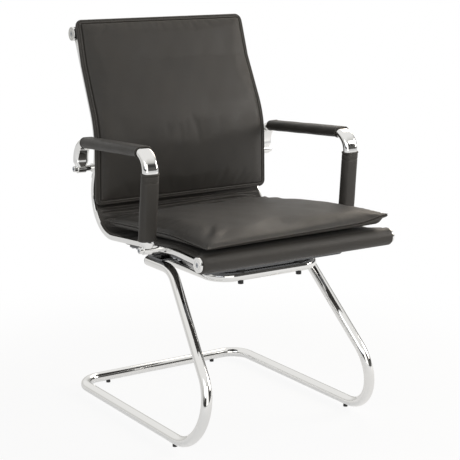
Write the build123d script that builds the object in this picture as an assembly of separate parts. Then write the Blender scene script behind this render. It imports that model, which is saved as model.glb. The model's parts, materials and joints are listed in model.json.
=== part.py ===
from build123d import *
import os
from math import asin, atan2, cos, degrees, radians, sin, sqrt, tan

# Visitor chair on a bent-tube sled base. Millimetres, +Z up, front of the chair towards -Y,
# X = 0 is the plane of symmetry, and the origin lies on the floor under the middle of the chair.

# Sled frame: one bent round tube
TUBE_D = 25.0
TUBE_WALL = 2.0
RUNNER_SPACING = 490.0
REAR_BAR_Y = 308.5
REAR_BEND_R = 55.0
TOE_Y = -411.0
TOE_BEND_R = 100.0
LEG_TOP_SPACING = 370.0
LEG_TOP_Y = -66.5
LEG_TOP_BEND_R = 70.0
RUN_END_Y = 40.5
SUPPORT_Z = 384.0

# Support tube under the seat front
SUPPORT_SPACING = 282.0
SUPPORT_FRONT_Y = -196.0
SUPPORT_BEND_R = 50.0

# Glides, plugs and caps on the tubes
GLIDE_D = 11.0
GLIDE_H = 6.0
REAR_GLIDE_SPACING = 318.0
FRONT_GLIDE_Y = -173.5
PLUG_HEAD = 3.0
PLUG_STEM = 14.0
BOLT_CAP_D = 13.0
BOLT_CAP_H = 7.0

# Side rail: grooved bar, its centre line given by (Y, Z) corners that are rounded
RAIL_T = 10.0
RAIL_DEPTH = 12.0
RAIL_EDGE_R = 2.2
RAIL_OUT_X = 248.0
RAIL_LEAN = 0.82
RAIL_TOE = 1.5
SEAT_LEVEL = 445.0
FRONT_ROLL = (-303.75, 453.8)
SEAT_CREST = (-184.0, 458.0)
SEAT_BACK_CORNER = (248.5, 420.0)
LUMBAR = (189.75, 652.0)
BACK_TOP_Z = 902.0
TOP_ROLL = (307.25, BACK_TOP_Z)
CREST_R = 400.0
CORNER_R = 96.0
LUMBAR_R = 210.0
GROOVE_W = 4.6
GROOVE_DEPTH = 3.2

# Roll bars and end caps
ROLL_BAR_D = 22.0
EYE_D = 26.0
EYE_STEP = 3.0
CAP_D = 34.0
CAP_T = 5.0
CAP_RING_D = 23.0
CAP_RING_W = 2.0
CAP_RING_DEPTH = 0.8
CAP_SCREW_D = 6.0
CAP_SCREW_GRIP = 14.0
CAP_HEAD_D = 11.0
CAP_HEAD_H = 3.0

# Stretchers, mount plates and base bolts
STRAP_W = 40.0
STRAP_T = 5.0
STRAP_BEND_R = 9.0
STRAP_SLANT = 40.0
REAR_STRAP_Y = 1.0
FRONT_BOLT_SPACING = 162.0
PLATE_T = 5.0
PLATE_L = 62.0
PLATE_LAP = 9.0
PAD_D = 20.0
MOUNT_PAD_H = 6.0
BASE_BOLT_D = 8.0
BASE_HEAD_D = 9.6
BASE_HEAD_H = 4.0
NUT_AF = 13.0
NUT_H = 6.5
BOLT_END = 2.0
SCREW_D = 5.0
SCREW_GRIP = 3.5
SCREW_HEAD_D = 9.0
SCREW_HEAD_H = 2.6
SCREW_PITCH = 20.0
BACK_SCREW_D = 4.0
BACK_HEAD_D = 6.8
BACK_HEAD_H = 2.2
BACK_SCREW_PITCH = 11.0
BACK_SCREW_SET = 6.4
BACK_BAR_Z = 563.0
BACK_BAR_H = 20.0
BACK_BAR_T = 4.5
BACK_BAR_SET = 2.8

# Arms: flat-oval tube in a vertical plane, corners given as (Y, Z)
ARM_X = 276.0
ARM_FRONT_BOSS_Y = -116.0
ARM_REAR_BOSS_Z = 586.0
REAR_LUG_SET = 12.0
REAR_LUG_D = 21.0
ARM_FRONT_CORNER = (-137.0, 673.5)
ARM_REAR_CORNER = (221.0, 652.0)
ARM_FRONT_R = 40.0
ARM_REAR_R = 46.0
ARM_W = 38.0
ARM_DEPTH = 20.0
ARM_WALL = 2.0
FOOT_L = 17.0
FOOT_W = 20.0
FOOT_DEPTH = 18.0
FOOT_EYE_D = 21.0
SLEEVE_T = 2.2
TOP_SLEEVE_FRONT_SHARE = 0.15
TOP_SLEEVE_REAR_SHARE = 0.05
FRONT_SLEEVE_FOOT_GAP = 4.0
BOSS_D = 15.0
BOSS_OVERHANG = 10.0
BOSS_CHAMFER = 1.2
ARM_BOLT_D = 8.0
ARM_BOLT_GRIP = 6.0
ARM_HEAD_D = 11.6
ARM_HEAD_H = 5.0
SOCKET_AF = 5.0
SOCKET_DEPTH = 2.0

# Upholstery
SLING_T = 8.0
WELT_T = 3.4
WELT_REACH = 2.7
SLING_SEAM_Y = 66.0
FRONT_ROLL_R = 20.5
FRONT_ROLL_EDGE_R = 4.0
TOP_ROLL_R = 16.5
TOP_ROLL_EDGE_R = 1.5
TOP_HEM = 85.0
SEAT_BELLY = 15.0
SLING_SHOULDER = 30.0
SLING_CROWN = 0.6
SLING_SAG = 4.0
SLING_NOSE = 70.0
SLING_LAP = 2.0
SLING_TAPER = 120.0
SEAT_PAD_FRONT_Y = -317.0
SEAT_PAD_L = 460.0
SEAT_PAD_DRAW = 3.0
SEAT_PAD_EARS = 5.0
SEAT_PAD_LIFT = 30.0
SEAT_PAD_LIFT_REAR = 34.0
SEAT_PAD_SEAM_H = 15.0
SEAT_PAD_TOP = 19.0
SEAT_PAD_CROWN = 9.0
SEAT_PAD_SHOULDER = 28.0
BACK_PAD_LOW_Z = 497.0
BACK_PAD_ABOVE_ROLL = 23.0
BACK_PAD_SEAM_H = 8.0
BACK_PAD_TOP = 16.0
BACK_PAD_CROWN = 9.0
BACK_PAD_SHOULDER = 32.0
BACK_PAD_CORNER_R = 17.0
BACK_PAD_OVERHANG = 4.5
BACK_PAD_DRAW = 0.5
SEAM_T = 3.0
SEAM_LIFT = 0.5
HOLLOW = 0.4

# Clearances
GAP = 0.3
BORE_GAP = 0.2
HOLE_GAP = 0.4

TUBE_R = TUBE_D / 2
RUNNER_Z = GLIDE_H + TUBE_R
SUPPORT_TOP = SUPPORT_Z + TUBE_R

parts = {}


def straight(a, b):
    """Unit vector, in the side view, from one (Y, Z) point to another."""
    return (Vector(0, *b) - Vector(0, *a)).normalized()


SEAT_RUN = straight(SEAT_CREST, SEAT_BACK_CORNER)
NOSE_RUN = straight(FRONT_ROLL, SEAT_CREST)
SEAT_TILT = atan2(SEAT_RUN.Z, SEAT_RUN.Y)
NOSE_TILT = atan2(NOSE_RUN.Z, NOSE_RUN.Y)


def seat_z(y):
    """Height of the rail centre line on the straight stretch of the seat."""
    return SEAT_CREST[1] + (y - SEAT_CREST[0]) * tan(SEAT_TILT)


def crest_spot(y):
    """Height and tilt of the rail centre line, on the seat or on the rounded crest."""
    start = Vector(0, *SEAT_CREST) + SEAT_RUN * CREST_R * tan((NOSE_TILT - SEAT_TILT) / 2)
    if y >= start.Y:
        return seat_z(y), SEAT_TILT
    centre_y = start.Y + CREST_R * sin(SEAT_TILT)
    centre_z = start.Z - CREST_R * cos(SEAT_TILT)
    tilt = -asin((y - centre_y) / CREST_R)
    return centre_z + CREST_R * cos(tilt), tilt


SLING_SEAM = (SLING_SEAM_Y, seat_z(SLING_SEAM_Y))
BACK_RUN = straight(LUMBAR, TOP_ROLL)


def side_path(x, points, radii):
    """Rounded line through (Y, Z) corners, in the plane at x."""
    return FilletPolyline(*[(x, y, z) for y, z in points], radius=radii)


def across(path, where=0.0):
    """Plane square to a path, with its own X along the chair's X."""
    return Plane(origin=path @ where, x_dir=(1, 0, 0), z_dir=path % where)


def cylinder_x(diameter, x0, x1, y, z):
    """Round bar along X between two X places."""
    return Pos((x0 + x1) / 2, y, z) * Rot(0, 90, 0) * Cylinder(diameter / 2, x1 - x0)


def cylinder_z(diameter, x, y, z0, z1):
    """Round bar along Z between two heights."""
    return Pos(x, y, (z0 + z1) / 2) * Cylinder(diameter / 2, z1 - z0)


def ring_tube(path, diameter, wall):
    """Round tube along a path."""
    start = Plane(origin=path @ 0, z_dir=path % 0)
    return sweep(start * (Circle(diameter / 2) - Circle(diameter / 2 - wall)), path)


# The left side is drawn upright and square, then tipped and toed inwards about a point of the rail
SIDE_TURN = Pos(RAIL_OUT_X, 0, SEAT_LEVEL) * Rot(0, -RAIL_LEAN, RAIL_TOE)


def lean(shape):
    """Put a left-side piece, drawn upright and square, at the rail's slant."""
    return SIDE_TURN * Pos(-RAIL_OUT_X, 0, -SEAT_LEVEL) * shape


def rail_plane(depth, side=1):
    """Plane of the slanting rail at a depth below its outer face, facing outwards."""
    left = Plane(SIDE_TURN * Pos(-depth, 0, 0) * Rot(0, 90, 0))
    spot, out = left.origin, left.z_dir
    return Plane(origin=(side * spot.X, spot.Y, spot.Z), z_dir=(side * out.X, out.Y, out.Z))


def rail_x(depth, y, z):
    """X of that plane on the left side, at a place in the side view."""
    plane = rail_plane(depth)
    out = plane.z_dir
    return plane.origin.X - (out.Y * (y - plane.origin.Y) + out.Z * (z - plane.origin.Z)) / out.X


def between_rails(shape, depth):
    """Cut a piece off at the same depth in both rails."""
    for side in (1, -1):
        shape = split(shape, bisect_by=rail_plane(depth, side), keep=Keep.BOTTOM)
    return shape


def both_sides(name, left):
    """Store a left piece and its mirror image."""
    parts[name + "_left"] = left
    parts[name + "_right"] = mirror(left, about=Plane.YZ)


def pair(piece):
    """A piece and its mirror image, as separate solids."""
    return [piece, mirror(piece, about=Plane.YZ)]


def hex_prism(across_flats, height):
    """Six-sided prism standing on the origin."""
    return extrude(RegularPolygon(across_flats / 2, 6, major_radius=False), height)


# Sled frame
leg_x = LEG_TOP_SPACING / 2
toe_x = RUNNER_SPACING / 2
half_sled = [
    (leg_x, RUN_END_Y, SUPPORT_Z),
    (leg_x, LEG_TOP_Y, SUPPORT_Z),
    (toe_x, TOE_Y, RUNNER_Z),
    (toe_x, REAR_BAR_Y, RUNNER_Z),
]
other_half = [(-x, y, z) for x, y, z in reversed(half_sled)]
half_radii = [LEG_TOP_BEND_R, TOE_BEND_R, REAR_BEND_R]
sled_path = FilletPolyline(*half_sled, *other_half, radius=half_radii + half_radii[::-1])
parts["sled_frame"] = ring_tube(sled_path, TUBE_D, TUBE_WALL)

# Support tube, with a through hole for each front base bolt
arm_of_u = SUPPORT_SPACING / 2
support_path = FilletPolyline(
    (arm_of_u, RUN_END_Y, SUPPORT_Z),
    (arm_of_u, SUPPORT_FRONT_Y, SUPPORT_Z),
    (-arm_of_u, SUPPORT_FRONT_Y, SUPPORT_Z),
    (-arm_of_u, RUN_END_Y, SUPPORT_Z),
    radius=SUPPORT_BEND_R,
)
front_bolt_x = FRONT_BOLT_SPACING / 2
bolt_hole = cylinder_z(
    BASE_BOLT_D + HOLE_GAP, front_bolt_x, SUPPORT_FRONT_Y, SUPPORT_Z - TUBE_D, SUPPORT_Z + TUBE_D
)
support_tube = ring_tube(support_path, TUBE_D, TUBE_WALL)
parts["support_tube"] = support_tube - pair(bolt_hole)

# Plugs in the four open tube ends
plug_bore = TUBE_D - 2 * TUBE_WALL - 2 * BORE_GAP
plug_head = Pos(0, 0, PLUG_HEAD / 2) * Cylinder(TUBE_R, PLUG_HEAD)
plug_head = fillet(plug_head.edges().sort_by(Axis.Z)[-1], PLUG_HEAD * 0.8)
plug = Rot(-90, 0, 0) * (plug_head + Pos(0, 0, -PLUG_STEM / 2) * Cylinder(plug_bore / 2, PLUG_STEM))
plugs = []
for x in (leg_x, arm_of_u):
    plugs += pair(Pos(x, RUN_END_Y, SUPPORT_Z) * plug)
parts["tube_end_plugs"] = Compound(children=plugs)


def saddle(diameter, x, y, z_low, z_centre, along_x):
    """Round foot whose top hugs the underside of a tube."""
    foot = cylinder_z(diameter, x, y, z_low, z_centre)
    turn = Rot(0, 90, 0) if along_x else Rot(90, 0, 0)
    return foot - Pos(x, y, z_centre) * turn * Cylinder(TUBE_R, diameter * 2)


# Glides under the runners and the rear bar
glides = pair(saddle(GLIDE_D, toe_x, FRONT_GLIDE_Y, 0, RUNNER_Z, False))
glides += pair(saddle(GLIDE_D, REAR_GLIDE_SPACING / 2, REAR_BAR_Y, 0, RUNNER_Z, True))
parts["floor_glides"] = Compound(children=glides)

# Places where the arms meet the rails
LOW_BACK = straight(SEAT_BACK_CORNER, LUMBAR)


def low_back_y(z):
    """Y of the rail centre line on the straight lower part of the back."""
    return SEAT_BACK_CORNER[0] + LOW_BACK.Y / LOW_BACK.Z * (z - SEAT_BACK_CORNER[1])


front_boss = (ARM_FRONT_BOSS_Y, crest_spot(ARM_FRONT_BOSS_Y)[0])
rear_boss = (low_back_y(ARM_REAR_BOSS_Z) + REAR_LUG_SET, ARM_REAR_BOSS_Z)

# Side rails: grooved section swept along the side outline, an eye at each end and a lug for the arm
rail_corners = [FRONT_ROLL, SEAT_CREST, SEAT_BACK_CORNER, LUMBAR, TOP_ROLL]
rail_radii = [CREST_R, CORNER_R, LUMBAR_R]
rail_mid = RAIL_OUT_X - RAIL_T / 2
rail_in = RAIL_OUT_X - RAIL_T
eye_face = RAIL_OUT_X + EYE_STEP
rail_path = side_path(rail_mid, rail_corners, rail_radii)
rail_section = RectangleRounded(RAIL_T, RAIL_DEPTH, RAIL_EDGE_R)
rail_section -= Pos((GROOVE_DEPTH - RAIL_T) / 2, 0) * Rectangle(GROOVE_DEPTH, GROOVE_W)
rail = sweep(across(rail_path) * rail_section, rail_path)
rail += cylinder_x(REAR_LUG_D, rail_in + GROOVE_DEPTH, RAIL_OUT_X, *rear_boss)
for y, z in (FRONT_ROLL, TOP_ROLL):
    rail += cylinder_x(EYE_D, rail_in, eye_face, y, z)
    rail -= cylinder_x(CAP_SCREW_D + HOLE_GAP, rail_in - RAIL_T, RAIL_OUT_X + RAIL_T, y, z)
for y, z in (front_boss, rear_boss):
    bolt_end = RAIL_OUT_X - ARM_BOLT_GRIP - GAP
    rail -= cylinder_x(ARM_BOLT_D + BORE_GAP, bolt_end, RAIL_OUT_X + RAIL_T, y, z)
rail = lean(rail)

# Round end caps, each with a shallow ring and a sunk screw
cap = cylinder_x(CAP_D, eye_face, eye_face + CAP_T, 0, 0)
cap = fillet(cap.edges().sort_by(Axis.X)[-1], CAP_T / 4)
cap_face = eye_face + CAP_T
ring_floor = cap_face - CAP_RING_DEPTH
ring = cylinder_x(CAP_RING_D, ring_floor, cap_face + CAP_T, 0, 0)
cap -= ring - cylinder_x(CAP_RING_D - 2 * CAP_RING_W, ring_floor, cap_face + CAP_T, 0, 0)
cap -= cylinder_x(CAP_HEAD_D + HOLE_GAP, cap_face - CAP_HEAD_H, cap_face + CAP_T, 0, 0)
cap -= cylinder_x(CAP_SCREW_D + HOLE_GAP, RAIL_OUT_X - CAP_T, cap_face + CAP_T, 0, 0)


def socket_screw(diameter, head_d, head_h, length):
    """Cap screw along -X, its head face at X = 0 and its socket facing +X."""
    screw = cylinder_x(head_d, -head_h, 0, 0, 0) + cylinder_x(diameter, -head_h - length, -head_h, 0, 0)
    return screw - Pos(-SOCKET_DEPTH, 0, 0) * Rot(0, 90, 0) * hex_prism(SOCKET_AF, SOCKET_DEPTH + 1)


cap_grip = cap_face - CAP_HEAD_H - rail_in + CAP_SCREW_GRIP
cap_screw = socket_screw(CAP_SCREW_D, CAP_HEAD_D, CAP_HEAD_H, cap_grip)
cap_screws = []
for name, (y, z) in (("front", FRONT_ROLL), ("top", TOP_ROLL)):
    both_sides(name + "_end_cap", lean(Pos(0, y, z) * cap))
    cap_screws += pair(lean(Pos(cap_face, y, z) * cap_screw))
    bar = cylinder_x(ROLL_BAR_D, -2 * RAIL_OUT_X, 2 * RAIL_OUT_X, y, z)
    bar = between_rails(bar, RAIL_T)
    bore = cylinder_x(CAP_SCREW_D + BORE_GAP, rail_in - CAP_SCREW_GRIP - 1, RAIL_OUT_X, y, z)
    parts[name + "_roll_bar"] = bar - pair(lean(bore))
parts["end_cap_screws"] = Compound(children=cap_screws)


def strap_frame(y):
    """Local frame on the rail centre line of the seat: X across, Y along the rail to the rear."""
    z, tilt = crest_spot(y)
    return Pos(0, y, z) * Rot(degrees(tilt), 0, 0)


# A flat tab touches the rounded crest at the tab's two ends
TAB_GAP = STRAP_W**2 / (8 * CREST_R) + BORE_GAP


def folded_strap(drop, rail_out):
    """Flat bar folded down from a tab under each rail to a low middle."""
    tab_z = -RAIL_DEPTH / 2 - STRAP_T / 2 - TAB_GAP
    tab_x = rail_out - RAIL_EDGE_R / 2
    fold_x = rail_out - RAIL_T - STRAP_BEND_R / 2
    low_z = -drop + STRAP_T / 2
    foot_x = fold_x - (tab_z - low_z) / tan(radians(STRAP_SLANT))
    half = [(tab_x, 0, tab_z), (fold_x, 0, tab_z), (foot_x, 0, low_z)]
    path = FilletPolyline(*half, *[(-x, y, z) for x, y, z in reversed(half)], radius=STRAP_BEND_R)
    start = Plane(origin=path @ 0, x_dir=(0, 1, 0), z_dir=path % 0)
    return sweep(start * Rectangle(STRAP_W, STRAP_T), path)


def button_screw(diameter, head_d, head_h, length):
    """Button screw with its head hanging below Z = 0 and its thread pointing up."""
    head = Pos(0, 0, -head_h / 2) * Cylinder(head_d / 2, head_h)
    head = fillet(head.edges().sort_by(Axis.Z)[0], head_h * 0.6)
    return head + Pos(0, 0, length / 2) * Cylinder(diameter / 2, length)


# Seat stretchers: folded straps screwed under the rails and bolted to the base
strap_screws = []
rear_bolt_x = (LEG_TOP_SPACING + SUPPORT_SPACING) / 4
strap_spots = (
    ("front", SUPPORT_FRONT_Y, front_bolt_x, SUPPORT_TOP),
    ("rear", REAR_STRAP_Y, rear_bolt_x, SUPPORT_TOP + PLATE_T),
)
mount_pads = []
base_bolts = []
for name, y, bolt_x, floor in strap_spots:
    frame = strap_frame(y)
    drop = crest_spot(y)[0] - floor - MOUNT_PAD_H
    rail_out = rail_x(0, y, crest_spot(y)[0])
    strap = frame * folded_strap(drop, rail_out)
    under_tab = -RAIL_DEPTH / 2 - STRAP_T - TAB_GAP
    for along in (-SCREW_PITCH / 2, SCREW_PITCH / 2):
        place = frame * Pos(rail_out - RAIL_T / 2, along, under_tab)
        hole = place * Cylinder(SCREW_D / 2 + BORE_GAP / 2, 2 * (STRAP_T + SCREW_GRIP + BORE_GAP))
        strap -= pair(hole)
        rail -= hole
        screw = button_screw(SCREW_D, SCREW_HEAD_D, SCREW_HEAD_H, STRAP_T + SCREW_GRIP)
        strap_screws += pair(place * screw)
    bolt_top = floor + MOUNT_PAD_H + STRAP_T + NUT_H + BOLT_END
    strap -= pair(cylinder_z(BASE_BOLT_D + HOLE_GAP, bolt_x, y, floor, bolt_top))
    parts[name + "_seat_stretcher"] = strap
    # Rubber pad, cut to the slope of the strap above it
    strap_under = Plane(frame * Location((0, 0, -drop)))
    rubber = cylinder_z(PAD_D, bolt_x, y, floor - TUBE_R / 2, floor + 2 * MOUNT_PAD_H)
    rubber = split(rubber, bisect_by=strap_under, keep=Keep.BOTTOM)
    if name == "front":
        rubber -= cylinder_x(TUBE_D, bolt_x - PAD_D, bolt_x + PAD_D, y, SUPPORT_Z)
    else:
        rubber = split(rubber, bisect_by=Plane.XY.offset(floor), keep=Keep.TOP)
    rubber -= cylinder_z(BASE_BOLT_D + HOLE_GAP, bolt_x, y, floor - TUBE_D, floor + TUBE_D)
    mount_pads += pair(rubber)
    # Bolt with its head under the tube or plate, and a nut on the strap
    under = SUPPORT_Z - TUBE_R if name == "front" else SUPPORT_TOP
    shank = cylinder_z(BASE_BOLT_D, bolt_x, y, under, bolt_top)
    if name == "front":
        head = saddle(BASE_HEAD_D, bolt_x, y, under - BASE_HEAD_H, SUPPORT_Z, True)
    else:
        head = cylinder_z(BASE_HEAD_D, bolt_x, y, under - BASE_HEAD_H, under)
    nut = frame * Pos(bolt_x, 0, STRAP_T - drop) * hex_prism(NUT_AF, NUT_H)
    base_bolts += pair(head + shank + nut)
parts["stretcher_screws"] = Compound(children=strap_screws)
parts["mount_pads"] = Compound(children=mount_pads)
parts["base_bolts"] = Compound(children=base_bolts)

# Caps over the two front bolt heads
cap_low = SUPPORT_Z - TUBE_R - BOLT_CAP_H
bolt_cap = saddle(BOLT_CAP_D, front_bolt_x, SUPPORT_FRONT_Y, cap_low, SUPPORT_Z, True)
head_low = SUPPORT_Z - TUBE_R - BASE_HEAD_H - GAP
bolt_cap -= cylinder_z(BASE_HEAD_D + 2 * BORE_GAP, front_bolt_x, SUPPORT_FRONT_Y, head_low, SUPPORT_Z)
parts["bolt_caps"] = Compound(children=pair(bolt_cap))

# Plates welded across the tops of the leg runs and the support tube
plate_x0 = arm_of_u - PLATE_LAP
plate_x1 = leg_x + PLATE_LAP
plate = Pos((plate_x0 + plate_x1) / 2, REAR_STRAP_Y, SUPPORT_TOP + PLATE_T / 2) * Box(
    plate_x1 - plate_x0, PLATE_L, PLATE_T
)
plate = fillet(plate.edges().filter_by(Axis.Z), PLATE_LAP / 2)
plate -= cylinder_z(BASE_BOLT_D + HOLE_GAP, rear_bolt_x, REAR_STRAP_Y, SUPPORT_Z, SUPPORT_TOP + TUBE_D)
both_sides("mount_plate", plate)

# Back stretcher: flat bar on the rear edges of the rails, below the arms' rear bosses
bar_centre = (0, low_back_y(BACK_BAR_Z), BACK_BAR_Z)
back_frame = Plane(origin=bar_centre, x_dir=(1, 0, 0), z_dir=(0, LOW_BACK.Z, -LOW_BACK.Y))
bar_reach = 2 * rail_x(BACK_BAR_SET, *bar_centre[1:])
back_bar = extrude(back_frame * RectangleRounded(bar_reach, BACK_BAR_H, BACK_BAR_H / 4), BACK_BAR_T)
back_bar = Pos(*(back_frame.z_dir * (RAIL_DEPTH / 2 + BORE_GAP))) * back_bar
back_screws = []
head_seat = RAIL_DEPTH / 2 + BORE_GAP + BACK_BAR_T - BACK_HEAD_H
back_screw_x = rail_x(BACK_SCREW_SET, *bar_centre[1:])
back_grip = BACK_BAR_T - BACK_HEAD_H + SCREW_GRIP
for along in (-BACK_SCREW_PITCH / 2, BACK_SCREW_PITCH / 2):
    spot = back_frame.location * Pos(back_screw_x, along, head_seat) * Rot(180, 0, 0)
    hole = spot * Cylinder((BACK_SCREW_D + BORE_GAP) / 2, 2 * (back_grip + BORE_GAP))
    sink = spot * Pos(0, 0, -BACK_BAR_T / 2) * Cylinder((BACK_HEAD_D + HOLE_GAP) / 2, BACK_BAR_T)
    back_bar -= pair(hole) + pair(sink)
    rail -= hole
    back_screws += pair(spot * button_screw(BACK_SCREW_D, BACK_HEAD_D, BACK_HEAD_H, back_grip))
parts["back_stretcher"] = back_bar
parts["back_stretcher_screws"] = Compound(children=back_screws)
both_sides("side_rail", rail)

# Arms
arm_corners = [front_boss, ARM_FRONT_CORNER, ARM_REAR_CORNER, rear_boss]
arm_path = side_path(ARM_X, arm_corners, [ARM_FRONT_R, ARM_REAR_R])
arm_length = arm_path.length
foot_share = FOOT_L / arm_length
tube_path = arm_path.trim(foot_share, 1 - foot_share)
oval = SlotOverall(ARM_W, ARM_DEPTH)
oval_bore = SlotOverall(ARM_W - 2 * ARM_WALL, ARM_DEPTH - 2 * ARM_WALL)
arm = sweep(across(tube_path) * (oval - oval_bore), tube_path)
for end, start, (y, z) in ((0.0, foot_share, front_boss), (1.0, 1 - foot_share, rear_boss)):
    foot_top = across(arm_path, start) * oval
    foot_end = across(arm_path, end) * SlotOverall(FOOT_W, FOOT_DEPTH)
    arm += loft([foot_top, foot_end], ruled=True)
    arm += cylinder_x(FOOT_EYE_D, ARM_X - FOOT_W / 2, ARM_X + FOOT_W / 2, y, z)
    arm -= cylinder_x(BOSS_D + BORE_GAP, ARM_X - FOOT_W, ARM_X + FOOT_W, y, z)
both_sides("arm_tube", lean(arm))

# Leather sleeves on the arm tube
sleeve_ring = SlotOverall(ARM_W + 2 * SLEEVE_T, ARM_DEPTH + 2 * SLEEVE_T)
sleeve_ring -= SlotOverall(ARM_W + BORE_GAP, ARM_DEPTH + BORE_GAP)
front_leg, front_bend, top_run, rear_bend, rear_leg = arm_path.edges()
front_sleeve_path = front_leg.trim((FOOT_L + FRONT_SLEEVE_FOOT_GAP) / front_leg.length, 1.0)
both_sides("arm_front_sleeve", lean(sweep(across(front_sleeve_path) * sleeve_ring, front_sleeve_path)))
top_sleeve_path = Wire(
    [front_bend.trim(1 - TOP_SLEEVE_FRONT_SHARE, 1.0), top_run, rear_bend.trim(0.0, TOP_SLEEVE_REAR_SHARE)]
)
both_sides("arm_top_sleeve", lean(sweep(across(top_sleeve_path) * sleeve_ring, top_sleeve_path)))

# Boss rods and bolts that carry the arms on the rails
boss_end = ARM_X + FOOT_W / 2 + BOSS_OVERHANG
arm_bolts = []
for name, (y, z) in (("front", front_boss), ("rear", rear_boss)):
    boss = cylinder_x(BOSS_D, RAIL_OUT_X, boss_end, y, z)
    boss = chamfer(boss.edges().sort_by(Axis.X)[-1], BOSS_CHAMFER)
    boss -= cylinder_x(ARM_BOLT_D + BORE_GAP, rail_in, boss_end + 1, y, z)
    boss -= cylinder_x(ARM_HEAD_D + BORE_GAP, boss_end - ARM_HEAD_H, boss_end + 1, y, z)
    both_sides(name + "_arm_boss", lean(boss))
    grip = boss_end - ARM_HEAD_H - RAIL_OUT_X + ARM_BOLT_GRIP
    bolt = socket_screw(ARM_BOLT_D, ARM_HEAD_D, ARM_HEAD_H, grip)
    arm_bolts += pair(lean(Pos(boss_end, y, z) * bolt))
parts["arm_bolts"] = Compound(children=arm_bolts)


def shoulder_height(full, edge, reach, inset):
    """Height of a rounded shoulder at an inset from its edge: level with the top at its full reach."""
    rise = full - edge
    radius = (reach**2 + rise**2) / (2 * rise)
    away = max(reach - inset, 0)
    return full - radius + sqrt(radius**2 - away**2)


def shoulder(x_edge, edge, reach, full, sign):
    """Arc from the seam edge of a cushion up (or down) to its top (or underside)."""
    inset = reach * 0.3
    mid = shoulder_height(full, edge, reach, inset)
    return ThreePointArc(
        (x_edge, sign * edge), (x_edge - inset, sign * mid), (x_edge - reach, sign * full)
    )


def cushion_section(plane, half_w, reach, top, crown, belly, sag):
    """Closed outline of a cushion across X: seam edges, rounded shoulders, crown and underside."""
    edge = SEAM_T / 2
    inner = half_w - reach
    right = [
        Line((half_w, -edge), (half_w, edge)),
        shoulder(half_w, edge, reach, top, 1),
    ]
    crown_arc = ThreePointArc((inner, top), (0, top + crown), (-inner, top))
    belly_arc = ThreePointArc((-inner, -belly), (0, -belly - sag), (inner, -belly))
    under = shoulder(half_w, edge, reach, belly, -1)
    left = [mirror(piece, about=Plane.YZ) for piece in right + [under]]
    return plane * make_face(right + [crown_arc] + left + [belly_arc, under])


wide = 2.5 * RAIL_OUT_X


def rolled_end(radius, edge_r, centre, run):
    """Leather roll as long as the rails' eyes, with a pocket for each eye and a slot for its rail."""
    leather = cylinder_x(2 * radius, -wide / 2, wide / 2, *centre)
    leather = between_rails(leather, GAP - EYE_STEP)
    leather = fillet(leather.edges(), edge_r)
    pocket = cylinder_x(EYE_D + 2 * GAP, rail_in - GAP, wide / 2, *centre)
    slot = extrude(
        Plane(origin=(rail_in - GAP, *centre), x_dir=run, z_dir=(1, 0, 0))
        * Pos(radius, 0)
        * Rectangle(2 * radius, RAIL_DEPTH + 2 * GAP),
        wide / 4,
    )
    return leather - pair(lean(pocket + slot))


# Back sling: padded band in the rail grooves, with a hem pocket round the top roll bar
sling_radii = [CORNER_R, LUMBAR_R]
back_path = side_path(0, [SLING_SEAM, SEAT_BACK_CORNER, LUMBAR, TOP_ROLL], sling_radii)
band = sweep(across(back_path) * Rectangle(wide, SLING_T), back_path)
welt = sweep(across(back_path) * Rectangle(wide, WELT_T), back_path)
hem_start = Vector(0, *TOP_ROLL) - BACK_RUN * TOP_HEM
hem_side = Vector(0, BACK_RUN.Z, -BACK_RUN.Y)
top_centre = Vector(0, *TOP_ROLL)
hem_points = [
    hem_start - hem_side * SLING_T / 2,
    hem_start + hem_side * SLING_T / 2,
    top_centre + hem_side * TOP_ROLL_R,
    top_centre - hem_side * TOP_ROLL_R,
]
hem = extrude(make_face(Polyline(*hem_points, close=True)), wide / 2, dir=(1, 0, 0), both=True)
top_roll = rolled_end(TOP_ROLL_R, TOP_ROLL_EDGE_R, TOP_ROLL, -BACK_RUN)
back_sling = between_rails(band + hem, RAIL_T + GAP) + top_roll
welt = between_rails(welt, RAIL_T - WELT_REACH)
welt -= pair(lean(cylinder_x(EYE_D + 2 * GAP, rail_in - RAIL_T, RAIL_OUT_X, *TOP_ROLL)))
back_sling += welt
back_sling -= cylinder_x(ROLL_BAR_D + 2 * BORE_GAP, -wide / 2, wide / 2, *TOP_ROLL)
parts["back_sling"] = back_sling


def seat_plane(along, up=0.0):
    """Plane across the seat, square to its slope, at a distance behind the crest."""
    spot = Vector(0, *SEAT_CREST) + SEAT_RUN * along
    lift = Vector(0, -SEAT_RUN.Z, SEAT_RUN.Y) * up
    return Plane(origin=spot + lift, x_dir=(1, 0, 0), z_dir=-SEAT_RUN)


# Seat sling: padded hammock between the rails, rolled round the front roll bar
seat_path = side_path(0, [FRONT_ROLL, SEAT_CREST, SLING_SEAM], [CREST_R])
seat_welt = sweep(across(seat_path) * Rectangle(wide, WELT_T), seat_path)
seat_welt = between_rails(seat_welt, RAIL_T - WELT_REACH)
seat_welt -= pair(lean(cylinder_x(EYE_D + 2 * GAP, rail_in - RAIL_T, RAIL_OUT_X, *FRONT_ROLL)))
front_along = (FRONT_ROLL[0] - SEAT_CREST[0]) / SEAT_RUN.Y
seam_along = (SLING_SEAM_Y - SEAT_CREST[0]) / SEAT_RUN.Y
pad_front = (SEAT_PAD_FRONT_Y - SEAT_CREST[0]) / SEAT_RUN.Y


def pad_lift(along):
    """Height of the seat pad's seam above the rail centre line."""
    return SEAT_PAD_LIFT + (SEAT_PAD_LIFT_REAR - SEAT_PAD_LIFT) * (along - pad_front) / SEAT_PAD_L


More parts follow.
